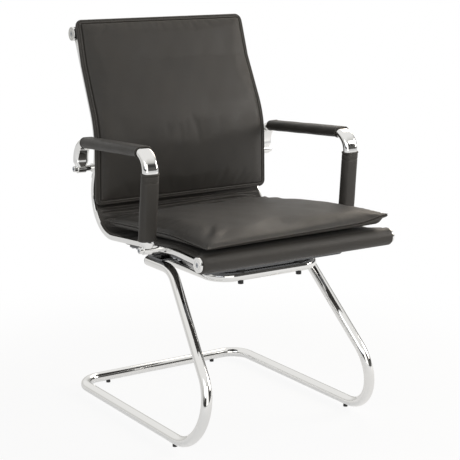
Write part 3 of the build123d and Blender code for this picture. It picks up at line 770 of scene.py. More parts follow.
@dataclass
class BackPad:
    """Loose back cushion: a stitched border round a crowned panel, hanging straight below the lumbar."""

    rails: SideRails
    low_z: float = 497.0 * MM
    above_roll: float = 25.0 * MM
    behind: float = 8.0 * MM
    panel: float = 10.0 * MM
    crown: float = 13.0 * MM
    turn_down: float = 20.0 * MM
    corner_r: float = 17.0 * MM
    overhang: float = 5.5 * MM
    hem: float = 85.0 * MM
    sling_t: float = 8.0 * MM
    roll_r: float = TOP_ROLL_R
    clear: float = 1.0 * MM
    piping: float = 5.0 * MM
    border: float = 12.0 * MM
    border_h: float = 5.5 * MM
    groove: float = 2.8 * MM
    stitch_mm: float = 8.5
    swell: float = 2.2 * MM
    width_at: tuple[float, float] = (0.24, 0.7)
    crown_half: float = 0.25
    groove_w: float = 1.2 * MM
    piping_w: float = 0.9 * MM
    gather: float = 0.4 * MM
    waves: tuple[float, float] = (0.9 * MM, 0.25 * MM)
    steps_mm: tuple[float, ...] = (
        0, 0.2, 0.5, 1.0, 1.7, 2.5, 3.3, 4.0, 4.5, 5.0, 5.5, 6.0, 6.7, 7.5, 8.5, 9.5, 10.4, 11.0, 11.5, 12.0,
        12.5, 13.0, 13.8, 15, 17, 19.5, 23, 27, 32,
    )
    pitch: float = 6.0 * MM

    def line(self) -> SideLine:
        """Draw the side view of the pad's middle: straight down from the lumbar bend, up past the top roll.

        Returns:
            The side line, from its lower edge.
        """
        r = self.rails
        turn = math.atan2(r.low_back[1], r.low_back[0]) - math.atan2(r.back_run[1], r.back_run[0])
        bend = np.array(r.lumbar) - r.low_back * r.lumbar_r * math.tan(turn / 2)
        hang_y = float(bend[0] + (r.low_back[1] - 1) * r.lumbar_r)
        hang_z = r.lumbar[1] + (hang_y - r.lumbar[0]) * r.back_run[1] / r.back_run[0]
        end = np.array(r.top_roll) + r.back_run * self.above_roll
        corners = [(hang_y, self.low_z), (hang_y, float(hang_z)), (float(end[0]), float(end[1]))]
        return SideLine(corners, [r.lumbar_r])

    def flat(self) -> tuple[np.ndarray, np.ndarray, np.ndarray, SideLine]:
        """Lay out the pad's grid in the flat.

        Returns:
            Distances across, along and from the edge of each grid point, and the side line.
        """
        line = self.line()
        half_w = float(self.rails.face_x(-self.overhang, *self.width_at))
        steps = [value * MM for value in self.steps_mm]
        across = edge_lines(2 * half_w, steps, self.pitch) - half_w
        along = edge_lines(line.length, steps, self.pitch) - line.length / 2
        a, b = np.meshgrid(across, along)
        radius = self.corner_r
        over_a = np.clip((np.abs(a) - half_w + radius) / radius, 0, 1)
        over_b = np.clip((np.abs(b) - line.length / 2 + radius) / radius, 0, 1)
        in_corner = (over_a > 0) & (over_b > 0)
        round_a = np.where(in_corner, over_a * np.sqrt(1 - over_b**2 / 2), over_a)
        round_b = np.where(in_corner, over_b * np.sqrt(1 - over_a**2 / 2), over_b)
        a = np.sign(a) * (np.abs(a) + (round_a - over_a) * radius)
        b = np.sign(b) * (np.abs(b) + (round_b - over_b) * radius)
        far_a = np.abs(a) - half_w + radius
        far_b = np.abs(b) - line.length / 2 + radius
        outside = np.hypot(np.maximum(far_a, 0), np.maximum(far_b, 0))
        inset = radius - outside - np.minimum(np.maximum(far_a, far_b), 0)
        return a, b + line.length / 2, np.maximum(inset, 0), line

    def front(self, a: np.ndarray, b: np.ndarray, inset: np.ndarray, length: float) -> np.ndarray:
        """Height of the front face over the seam: puffed border, sewn groove and crowned panel.

        Args:
            a: Distance across from the middle.
            b: Distance along from the lower edge.
            inset: Distance from the pad's edge.
            length: Length of the pad.

        Returns:
            Height of each point.
        """
        edge = np.clip(inset / self.border_h, 0, 1)
        height = self.border_h * np.sqrt(1 - (1 - edge) ** 2)
        share = 2 * b / length - 1
        crown = self.crown * np.clip(1 - share**2, 0, 1) * (1 - (a / self.crown_half) ** 2)
        rise = self.panel - self.border_h + crown
        inside = np.clip((inset - self.border) / self.turn_down, 0, 1)
        height = height + rise * np.sqrt(1 - (1 - inside) ** 2)
        height = height - self.groove * hump(inset, self.border, self.groove_w)
        height = height - 0.7 * self.groove * hump(inset, self.piping, self.piping_w)
        gather = np.sin((a + b) / (3.4 * MM)) * ripple(a, b, 55 * MM, 3.0)
        height = height + self.gather * gather * hump(inset, self.border + 5 * MM, 5 * MM)
        panel = smooth(inset, 25 * MM, 80 * MM)
        slow, quick = self.waves
        return height + panel * (slow * ripple(a, b, 210 * MM, 1.0) + quick * ripple(a, b, 64 * MM, 2.0))

    def place(self, a: np.ndarray, b: np.ndarray, height: np.ndarray, line: SideLine) -> np.ndarray:
        """Bend the flat pad to its side line.

        Args:
            a: Distance across from the middle.
            b: Distance along from the lower edge.
            height: Height over the seam.
            line: Side line of the pad.

        Returns:
            Points in the chair's frame.
        """
        spot, run = line.spot(b), line.run(b)
        roll_at = line.length - self.above_roll
        share = np.clip((b - roll_at + self.hem) / self.hem, 0, 1)
        skin = self.sling_t / 2 + (self.roll_r - self.sling_t / 2) * share + self.clear + self.behind
        lift = (skin + height)[..., None]
        flat = spot + lift * np.stack([-run[..., 1], run[..., 0]], axis=-1)
        wide = self.rails.face_x(-self.overhang, spot[..., 0], spot[..., 1])
        middle = self.rails.face_x(-self.overhang, *self.width_at)
        return np.concatenate([(a * wide / middle)[..., None], flat], axis=-1)

    def build(self, leather: bpy.types.Material, thread: bpy.types.Material) -> list[bpy.types.Object]:
        """Build the pad and its stitches.

        Args:
            leather: Material of the cover.
            thread: Material of the stitches.

        Returns:
            The pad and its stitch rows.
        """
        a, b, inset, line = self.flat()
        height = self.front(a, b, inset, line.length)
        edge = np.clip(inset / (self.behind * 0.95), 0, 1)
        under = -self.behind * np.sqrt(1 - (1 - edge) ** 2)
        front, rear = self.place(a, b, height, line), self.place(a, b, under, line)
        pad = closed_pillow("back_pad_cover", front, rear)
        held = np.concatenate([front[inset < self.border + 2 * MM], rear.reshape(-1, 3)])
        Filling().settle(pad, held, self.swell)
        dress(pad, leather, Slot.LEATHER, "back_pad")
        column = self.steps_mm.index(self.stitch_mm)
        sewn_h = height + 0.1 * MM
        grid = self.place(a, b, sewn_h, line)
        loop = np.concatenate(
            [
                grid[column, column:-column],
                grid[column : -column - 1, -column - 1],
                grid[-column - 1, -column - 1 : column : -1],
                grid[-column - 1 : column - 1 : -1, column],
            ]
        )
        stitches = StitchRow().sew("back_pad_stitches", [loop], thread)
        dress(stitches, thread, Slot.LEATHER)
        return [pad, stitches]


@dataclass
class SeatPad:
    """Loose seat cushion: two panels sewn together at mid height, pinched into ears at the corners."""

    rails: SideRails
    front_y: float = -317.0 * MM
    length: float = 460.0 * MM
    draw: float = 3.0 * MM
    ears: float = 4.0 * MM
    lift: float = 30.0 * MM
    lift_rear: float = 34.0 * MM
    under: float = 14.6 * MM
    top: float = 16.8 * MM
    crown: float = 11.0 * MM
    puff: float = 4.0 * MM
    droop: float = 8.5 * MM
    twist: float = 4.3 * MM
    flick: float = 12.5 * MM
    profile_mm: tuple[tuple[float, float], ...] = (
        (3.6, 0.0), (2.3, 0.03), (1.2, 0.08), (0.4, 0.15), (0.0, 0.24), (0.1, 0.33), (0.6, 0.43),
        (1.6, 0.53), (3.2, 0.63), (5.6, 0.73), (9.0, 0.82), (14.0, 0.90), (21.0, 0.96), (30.0, 0.99),
        (42.0, 1.0),
    )
    corner_r: float = 30.0 * MM
    ear_share: float = 0.52
    swell: float = 3.0 * MM
    width_at: tuple[float, float] = (-0.09, 0.48)
    seam_row: int = 5
    pucker: float = 0.8 * MM
    fan: float = 2.2 * MM
    pitch: float = 6.0 * MM

    def spread(self, length: float) -> tuple[np.ndarray, np.ndarray]:
        """Grid lines over one direction of the pad.

        Args:
            length: Full length of that direction.

        Returns:
            Place of each line from the middle, and its share of the full height.
        """
        inset = np.array([pair[0] for pair in self.profile_mm]) * MM
        share = np.array([pair[1] for pair in self.profile_mm])
        count = int(round((length - 2 * inset[-1]) / self.pitch))
        middle = np.linspace(inset[-1], length - inset[-1], count + 1)[1:-1]
        places = np.concatenate([inset, middle, length - inset[::-1]]) - length / 2
        return places, np.concatenate([share, np.ones(len(middle)), share[::-1]])

    def corner(self, edge_a: np.ndarray, edge_b: np.ndarray) -> np.ndarray:
        """Share of the height left at the corners, where the cover runs out into an ear.

        Args:
            edge_a: Distance from the nearer side.
            edge_b: Distance from the nearer end.

        Returns:
            Share at each point, 1 away from the corners.
        """
        radius = self.corner_r
        inset = np.array([pair[0] for pair in self.profile_mm[4:]]) * MM
        share = np.array([pair[1] for pair in self.profile_mm[4:]])
        inside = radius - np.hypot(np.maximum(radius - edge_a, 0), np.maximum(radius - edge_b, 0))
        filled = np.interp(inside, inset, share) * smooth(inside, -3 * MM, 3 * MM)
        level = np.interp(np.minimum(edge_a, edge_b), inset, share)
        return np.clip(((filled / level) ** 3 + self.ear_share**3) ** (1 / 3), 0, 1)

    def place(self, a: np.ndarray, b: np.ndarray, height: np.ndarray) -> np.ndarray:
        """Put the flat pad on the seat.

        Args:
            a: Distance across, as a share of the half width.
            b: Distance along from the middle.
            height: Height over the seam.

        Returns:
            Points in the chair's frame.
        """
        r = self.rails
        first = (self.front_y - r.crest[0]) / r.seat_run[0]
        share = b / (self.length / 2)
        along = first + b + self.length / 2
        lift = self.lift + (self.lift_rear - self.lift) * (b / self.length + 0.5)
        up = np.array([-r.seat_run[1], r.seat_run[0]])
        seam = np.array(r.crest) + along[..., None] * r.seat_run + lift[..., None] * up
        wide = r.face_x(r.thick + self.draw, seam[..., 0], seam[..., 1]) + self.ears * np.abs(share) ** 5
        bow = self.ears * (np.abs(a) ** 5 - 0.7) * np.sign(share) * np.abs(share) ** 3
        spot = seam + height[..., None] * up + bow[..., None] * r.seat_run
        return np.concatenate([(a * wide)[..., None], spot], axis=-1)

    def build(self, leather: bpy.types.Material, thread: bpy.types.Material) -> list[bpy.types.Object]:
        """Build the pad and the stitches beside its seam.

        Args:
            leather: Material of the cover.
            thread: Material of the stitches.

        Returns:
            The pad and its stitch rows.
        """
        half = float(self.rails.face_x(self.rails.thick + self.draw, *self.width_at))
        across, thin_a = self.spread(2 * half)
        along, thin_b = self.spread(self.length)
        a, b = np.meshgrid(across / half, along)
        edge_a = (1 - np.abs(a)) * half
        edge_b = self.length / 2 - np.abs(b)
        fan = np.hypot(edge_a, edge_b)
        thin = np.minimum(*np.meshgrid(thin_a, thin_b)) * self.corner(edge_a, edge_b)
        share = b / (self.length / 2)
        dome = self.crown * np.clip(1 - share**4, 0, 1) * np.clip(1 - np.abs(a) ** 3, 0, 1)
        wave = 1.3 * MM * ripple(a * half, b, 190 * MM, 5.0)
        wave = wave + 0.35 * MM * ripple(a * half, b, 58 * MM, 6.0)
        puff = self.puff * smooth(a, 0.0, 0.8) * smooth(-share, -0.7, 0.3)
        over = thin * (self.top + dome + wave + puff)
        pinch = np.sin(a * half / (4.4 * MM)) * hump(edge_b, 7 * MM, 8 * MM) * smooth(edge_a, 0.0, 30 * MM)
        pinch = pinch + np.sin(b / (4.1 * MM)) * hump(edge_a, 7 * MM, 8 * MM) * smooth(edge_b, 0.0, 30 * MM)
        over = over + thin * self.pucker * pinch * np.maximum(ripple(a * half, b, 90 * MM, 7.0), 0)
        turn = np.arctan2(edge_b, edge_a)
        rays = np.sin(turn * 9.0 + a) * hump(fan, 40 * MM, 24 * MM)
        over = over + thin * self.fan * rays * (share > 0)
        ear = np.hypot((1 - a) * half, self.length / 2 + b)
        sink = (self.droop - self.twist * a) * smooth(-share, 0.2, 1.0)
        lift = self.flick * hump(ear, 0.0, 46 * MM)
        belly = thin**1.25
        over = over - sink + lift * (1 - thin)
        below = (lift - sink) * (1 - belly) - self.under * belly
        upper, lower = self.place(a, b, over), self.place(a, b, below)
        pad = closed_pillow("seat_pad_cover", upper, lower)
        row = self.seam_row
        sewn = np.ones(a.shape, dtype=bool)
        sewn[row + 1 : -row - 1, row + 1 : -row - 1] = False
        Filling().settle(pad, np.concatenate([upper[sewn], lower.reshape(-1, 3)]), self.swell)
        dress(pad, leather, Slot.LEATHER, "seat_pad")
        grid = self.place(a, b, over + 0.1 * MM)
        ends = [grid[row, row:-row], grid[-row - 1, row:-row]]
        lines = ends + [grid[row:-row, row], grid[row:-row, -row - 1]]
        stitches = StitchRow().sew("seat_pad_stitches", lines, thread)
        dress(stitches, thread, Slot.LEATHER)
        return [pad, stitches]


@dataclass
class Sling:
    """Padded leather band between the rails, sewn round a roll bar at one end."""

    rails: SideRails
    name: str
    node: str
    line: SideLine
    roll_r: float
    end_r: float = 4.0 * MM
    past_rail: float = 2.6 * MM
    edge_t: float = 3.2 * MM
    welt: float = 2.6 * MM
    shoulder: float = 30.0 * MM
    stretch: float = 34.0 * MM
    lip_mm: tuple[tuple[float, float, float], ...] = (
        (0.0, 7.4, 0.0), (0.4, 8.6, 0.9), (1.0, 10.4, 1.6), (1.8, 10.5, 4.0), (2.6, 10.2, 6.4),
        (3.4, 7.4, 6.5), (4.4, 5.6, 6.9), (5.6, 5.1, 7.8), (7.2, 5.9, 8.7), (9.2, 8.2, 9.0),
        (12.0, 11.6, 8.2), (16.0, 16.0, 6.6), (21.0, 21.4, 5.3), (27.0, 27.6, 4.5), (34.0, 34.4, 4.0),
    )
    fine: tuple[float, float] = (0.0, 0.0)
    fine_pitch: float = 1.5 * MM
    stitch_mm: float = 16.0
    stitch_rows: tuple[int, int] = (8, -40)
    pitch: float = 6.0 * MM
    steps_mm: tuple[float, ...] = (0, 0.4, 1.0, 1.8, 2.6, 3.4, 4.4, 5.6, 7.2, 9.2, 12, 16, 21, 27, 34)

    def over(self, across: np.ndarray, along: np.ndarray) -> np.ndarray:
        """Thickness of the band on its upper or front side, from distances across and along."""
        raise NotImplementedError

    def under(self, across: np.ndarray, along: np.ndarray) -> np.ndarray:
        """Thickness of the band on its lower or rear side, from distances across and along."""
        raise NotImplementedError

    def lipped(self, along: np.ndarray) -> np.ndarray:
        """Share of the lip over the rail's inner edge at distances along the band."""
        left = self.line.length - along
        return smooth(along, 4 * MM, 16 * MM) * smooth(left, self.roll_r, self.roll_r + 14 * MM)

    def shell(self) -> tuple[np.ndarray, np.ndarray]:
        """Lay out both faces of the band.

        Returns:
            Grids of the over face and of the under face, with the same border.
        """
        length = self.line.length
        count = int(round(length / self.pitch))
        end = np.array([0, 0.6, 1.5, 2.8, 4.5]) * MM
        body = np.linspace(8 * MM, length - self.roll_r - 0.5 * MM, count)
        fine = np.arange(*self.fine, self.fine_pitch)
        body = np.concatenate([body[body < self.fine[0]], fine, body[body > self.fine[1]]])
        swing = np.radians(np.linspace(0, 90, 17))
        curl = np.radians(np.linspace(0, 90, 19)[1:])
        round_bar = length - self.roll_r * np.cos(swing)
        along = np.concatenate([end, body, round_bar, np.full(len(curl), length)])
        angle = np.concatenate([np.zeros(len(end) + len(body) + len(swing)), curl])
        steps = [value * MM for value in self.steps_mm]
        middle = self.line.spot(np.array([length / 2]))[0]
        nominal = float(self.rails.face_x(self.rails.thick - self.welt, *middle))
        across = edge_lines(2 * nominal, steps, self.pitch) - nominal
        a, s = np.meshgrid(across, along)
        phi = np.repeat(angle[:, None], len(across), axis=1)
        spot, run = self.line.spot(s), self.line.run(s)
        behind = length - s
        rolled = behind <= self.roll_r
        inner = self.rails.face_x(self.rails.thick - self.welt, spot[..., 0], spot[..., 1])
        outer = self.rails.face_x(-self.past_rail, spot[..., 0], spot[..., 1])
        inset = nominal - np.abs(a)
        flank = np.clip(1 - inset / self.stretch, 0, 1)
        wide = np.abs(a) * inner / nominal + flank * np.where(rolled, outer - inner, 0.0)
        from_end = outer - wide
        over_rail = rolled & (from_end < self.past_rail + self.rails.thick)
        corner = np.clip(from_end / self.end_r, 0, 1)
        ring = self.roll_r - self.end_r * (1 - np.sqrt(1 - (1 - corner) ** 2))
        ring = np.where(inset <= 0, 0.0, np.sqrt(np.maximum(ring**2 - behind**2, 0)))
        tuck = np.clip((inset - self.welt) / self.shoulder, 0, 1)
        thin = self.edge_t / 2 * np.clip(inset / (0.8 * MM), 0, 1) ** 0.5
        swell = np.sqrt(1 - (1 - tuck) ** 2)
        blunt = np.clip(s / (4.5 * MM), 0, 1)
        blunt = np.sqrt(1 - (1 - blunt) ** 2)
        whole = smooth(s, length - self.roll_r - 22 * MM, length)
        faces = []
        table = np.array(self.lip_mm) * MM
        lip_x = self.rails.face_x(np.interp(inset, table[:, 0], table[:, 1]), spot[..., 0], spot[..., 1])
        lip_h = np.interp(inset, table[:, 0], table[:, 2])
        lip = self.lipped(s) * (inset < table[-1, 0]) * ~rolled
        for sign, full in ((1, self.over(a, s)), (-1, self.under(a, s))):
            plain = (thin + np.maximum(full - self.edge_t / 2, 0) * swell) * blunt
            pleat = 0.5 * MM * np.sin(phi * 9 + s / (7 * MM)) * hump(inset, 12 * MM, 9 * MM) * rolled
            filled = plain * (1 - whole) + (self.roll_r + pleat) * whole
            thick = np.where(over_rail, ring, np.where(rolled | (inset > 0), filled, 0.0))
            out = wide
            if sign > 0:
                raised = np.maximum(lip_h, thick * (inset > 12 * MM))
                thick = np.where(lip > 0, thick + lip * (raised - thick), thick)
                out = wide + lip * (lip_x - wide)
            lift = (thick * np.cos(phi) * sign)[..., None] * np.stack([-run[..., 1], run[..., 0]], axis=-1)
            reach = (thick * np.sin(phi))[..., None] * run
            place = spot + lift + reach
            faces.append(np.concatenate([(np.sign(a) * out)[..., None], place], axis=-1))
        return faces[0], faces[1]

    def build(self, leather: bpy.types.Material, thread: bpy.types.Material) -> list[bpy.types.Object]:
        """Build the band and the stitches along its two sides.

        Args:
            leather: Material of the band.
            thread: Material of the stitches.

        Returns:
            The band and its stitches.
        """
        over, under = self.shell()
        band = closed_pillow(self.name, over, under)
        dress(band, leather, Slot.LEATHER, self.node)
        column = self.steps_mm.index(self.stitch_mm)
        rows = slice(*self.stitch_rows)
        lines = [face[rows, place] for face in (over, under) for place in (column, -column - 1)]
        stitches = StitchRow().sew(f"{self.name}_stitches", lines, thread)
        dress(stitches, thread, Slot.LEATHER)
        return [band, stitches]


@dataclass
class BackSling(Sling):
    """Back band: thin, folded over on itself in the bend between seat and back, hemmed round the top bar."""

    hem: float = 85.0 * MM
    thick: float = 8.0 * MM
    fine: tuple[float, float] = (90.0 * MM, 215.0 * MM)
    fold_mm: tuple[tuple[float, float, float], ...] = (
        (106.0, 3.0, 22.0), (121.0, 4.6, 15.0), (136.0, 5.6, 8.0), (149.0, 6.0, 3.0), (161.0, 6.0, -2.0),
        (174.0, 5.0, -8.0), (189.0, 3.6, -15.0),
    )
    lip_end: tuple[float, float] = (275.0 * MM, 235.0 * MM)

    def over(self, across: np.ndarray, along: np.ndarray) -> np.ndarray:
        """Front thickness, with the folds of the bend.

        Args:
            across: Distance from the middle.
            along: Distance along the side line.

        Returns:
            Thickness of each point.
        """
        hem = np.clip((along - self.line.length + self.hem) / self.hem, 0, 1)
        base = self.thick / 2 + (self.roll_r - self.thick / 2) * hem
        for centre, height, slant in self.fold_mm:
            wander = 2.2 * MM * ripple(across, along * 0, 170 * MM, centre)
            far = along - centre * MM - slant * MM * across / 0.24 - wander
            crease = np.maximum(1 - np.abs(far) / (7 * MM), 0) ** 1.4
            crease = crease - 0.45 * hump(far, -7 * MM, 1.8 * MM)
            base = base + height * MM * crease * (0.72 + 0.28 * np.cos(across * 11 + centre))
        return base

    def lipped(self, along: np.ndarray) -> np.ndarray:
        """Share of the lip over the rail's inner edge: only where the pad hangs clear of the band."""
        return smooth(along, 4 * MM, 16 * MM) * smooth(-along, -self.lip_end[0], -self.lip_end[1])

    def under(self, across: np.ndarray, along: np.ndarray) -> np.ndarray:
        """Rear thickness, with the sewn line of the hem.

        Args:
            across: Distance from the middle.
            along: Distance along the side line.

        Returns:
            Thickness of each point.
        """
        hem = np.clip((along - self.line.length + self.hem) / self.hem, 0, 1)
        base = self.thick / 2 + (self.roll_r - self.thick / 2) * hem
        base = base - 1.4 * MM * hump(along, self.line.length - self.hem, 1.8 * MM)
        middle = smooth(0.24 - np.abs(across), 0, 0.06)
        return base + 0.8 * MM * ripple(across, along, 170 * MM, 11.0) * middle


@dataclass
class SeatSling(Sling):
    """Seat band: a filled hammock under the loose pad, carried round the front bar."""

    thick: float = 8.0 * MM
    fill: float = 14.0 * MM
    belly: float = 15.0 * MM
    sag: float = 4.0 * MM
    taper: float = 120.0 * MM

    def over(self, across: np.ndarray, along: np.ndarray) -> np.ndarray:
        """Upper thickness, hidden under the pad and rising to the front roll."""
        filled = self.thick / 2 + (self.fill - self.thick / 2) * smooth(along, 0, self.taper)
        return filled + (self.roll_r - self.fill) * smooth(
            along, self.line.length - 70 * MM, self.line.length
        )

    def under(self, across: np.ndarray, along: np.ndarray) -> np.ndarray:
        """Lower thickness: the filled belly.

        Args:
            across: Distance from the middle.
            along: Distance along the side line.

        Returns:
            Thickness of each point.
        """
        belly = self.belly + self.sag * np.clip(1 - (across / 0.24) ** 2, 0, 1)
        belly = belly + 0.8 * MM * ripple(across, along, 150 * MM, 13.0)
        filled = self.thick / 2 + (belly - self.thick / 2) * smooth(along, 0, self.taper)
        end = self.line.length
        return filled + (self.roll_r - filled) * smooth(along, end - 60 * MM, end - 8 * MM)


@dataclass
class Armrests:
    """Leather sleeves on the two flat-oval arm tubes: one over the top run, one on the front leg."""

    rails: SideRails
    plane_x: float = 276.0 * MM
    front_boss: tuple[float, float] = (-116.0 * MM, 452.0 * MM)
    front_corner: tuple[float, float] = (-137.0 * MM, 673.5 * MM)
    rear_corner: tuple[float, float] = (221.0 * MM, 652.0 * MM)
    rear_boss_z: float = 586.0 * MM
    rear_lug: float = 12.0 * MM
    radii: tuple[float, float] = (40.0 * MM, 46.0 * MM)
    width: float = 38.0 * MM
    depth: float = 20.0 * MM
    wall: float = 2.3 * MM
    foot: float = 21.0 * MM
    front_share: float = 0.15
    rear_share: float = 0.05
    columns: int = 72
    pitch: float = 3.0 * MM
    hem_mm: tuple[float, ...] = (6.0, 17.5, 20.5)
    hem_steps_mm: tuple[float, ...] = (-1.5, -1.0, -0.6, -0.3, 0.0, 0.3, 0.6, 1.0, 1.5)
    lip_mm: tuple[tuple[float, float], ...] = (
        (9.0, 0.15), (1.5, 0.15), (0.3, 0.5), (0.0, 1.4), (0.15, 2.4), (0.6, 3.0), (1.4, 3.3), (2.6, 3.0),
    )
    groove: float = 0.9 * MM

    def line(self) -> SideLine:
        """Draw the side view of the arm's middle.

        Returns:
            The side line, from the front boss to the rear boss.
        """
        r = self.rails
        slope = r.low_back[0] / r.low_back[1]
        rear_y = r.corner[0] + slope * (self.rear_boss_z - r.corner[1]) + self.rear_lug
        corners = [self.front_boss, self.front_corner, self.rear_corner, (rear_y, self.rear_boss_z)]
        return SideLine(corners, list(self.radii))

    def oval(self, spread: float) -> tuple[np.ndarray, np.ndarray, np.ndarray]:
        """Flat-oval outline of the tube, moved out by a distance.

        Args:
            spread: Distance outside the tube.

        Returns:
            X and depth of each outline point, and its angle round the outline.
        """
        radius = self.depth / 2 + spread
        flat = self.width - self.depth
        turn = np.linspace(0, 2 * math.pi, self.columns, endpoint=False)
        x = radius * np.cos(turn) + np.sign(np.round(np.cos(turn), 9)) * flat / 2
        return x, radius * np.sin(turn), turn

    def sleeve(self, name: str, side: Side, start: float, end: float, hemmed: bool) -> bpy.types.Object:
        """Make one sleeve between two places along the arm.

        Args:
            name: Name of the piece.
            side: Side of the chair.
            start: First place along the arm.
            end: Last place along the arm.
            hemmed: Whether its end has sewn bands.

        Returns:
            The closed sleeve.
        """
        line = self.line()
        first = [(start + inset * MM, height * MM) for inset, height in self.lip_mm]
        last = [(end - inset * MM, height * MM) for inset, height in reversed(self.lip_mm)]
        count = int((end - start) / self.pitch)
        bands = [end - inset * MM for inset in self.hem_mm] if hemmed else []
        places = np.linspace(start + 4 * MM, end - 4 * MM, count).tolist()
        places += [band + step * MM for band in bands for step in self.hem_steps_mm]
        middle = [(s, self.wall) for s in sorted(places)]
        rings = []
        for along, spread in first + middle + last:
            x, deep, turn = self.oval(spread)
            spot, run = line.spot(np.array(along)), line.run(np.array(along))
            near = min(along - start, end - along)
            swell = np.zeros(self.columns)
            if spread >= self.wall:
                seam = hump(turn, math.radians(250), 0.09)
                swell = swell - 0.9 * MM * seam * smooth(np.array(near), 0.0, 6 * MM)
                swell = swell + 0.35 * MM * ripple(turn * 0.02, np.full(self.columns, along), 47 * MM, 2.0)
                for band in bands:
                    swell = swell - self.groove * math.exp(-(((along - band) / (0.7 * MM)) ** 2))
                before, after = (line.run(np.array(along + step)) for step in (-4 * MM, 4 * MM))
                bend = abs(float(np.cross(before, after)))
                crease = np.sin(along / (2.1 * MM)) * np.clip(-np.sin(turn), 0, 1)
                swell = swell + 3.0 * MM * bend * crease * (near > 5 * MM)
            x = x + swell * np.cos(turn)
            deep = deep + swell * np.sin(turn)
            normal = np.array([-run[1], run[0]])
            flat = spot + deep[:, None] * normal
            ring = np.concatenate([(self.plane_x + x)[:, None], flat], axis=1)
            rings.append(self.rails.lean(ring, side))
        return closed_tube(name, np.array(rings))

    def build(self, leather: bpy.types.Material) -> list[bpy.types.Object]:
        """Build the sleeves of both arms.

        Args:
            leather: Material of the sleeves.

        Returns:
            The four sleeves.
        """
        spans = self.line().spans
        top_start = spans[2] - self.front_share * (spans[2] - spans[1])
        top_end = spans[3] + self.rear_share * (spans[4] - spans[3])
        pieces = []
        for side in Side:
            word = side.name.lower()
            top = self.sleeve(f"arm_top_cover_{word}", side, top_start, top_end, False)
            dress(top, leather, Slot.LEATHER, f"arm_top_sleeve_{word}")
            leg = self.sleeve(f"arm_front_cover_{word}", side, self.foot, spans[1], True)
            dress(leg, leather, Slot.LEATHER, f"arm_front_sleeve_{word}")
            pieces += [top, leg]
        return pieces


def finish_metalwork(finishes: dict[Slot, bpy.types.Material]) -> None:
    """Give every rigid node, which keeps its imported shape, the material of its slot.

    Args:
        finishes: Material of each slot.
    """
    slots = {part["node"]: Slot(part["material_slot"]) for part in frame["record"]["subparts"]}
    rigid = [node for node in frame["nodes"] if slots[node] is not Slot.LEATHER]
    for node in rigid:
        materials = frame["nodes"][node].data.materials
        materials.clear()
        materials.append(finishes[slots[node]])
    LOG.info("finished %d rigid nodes", len(rigid))


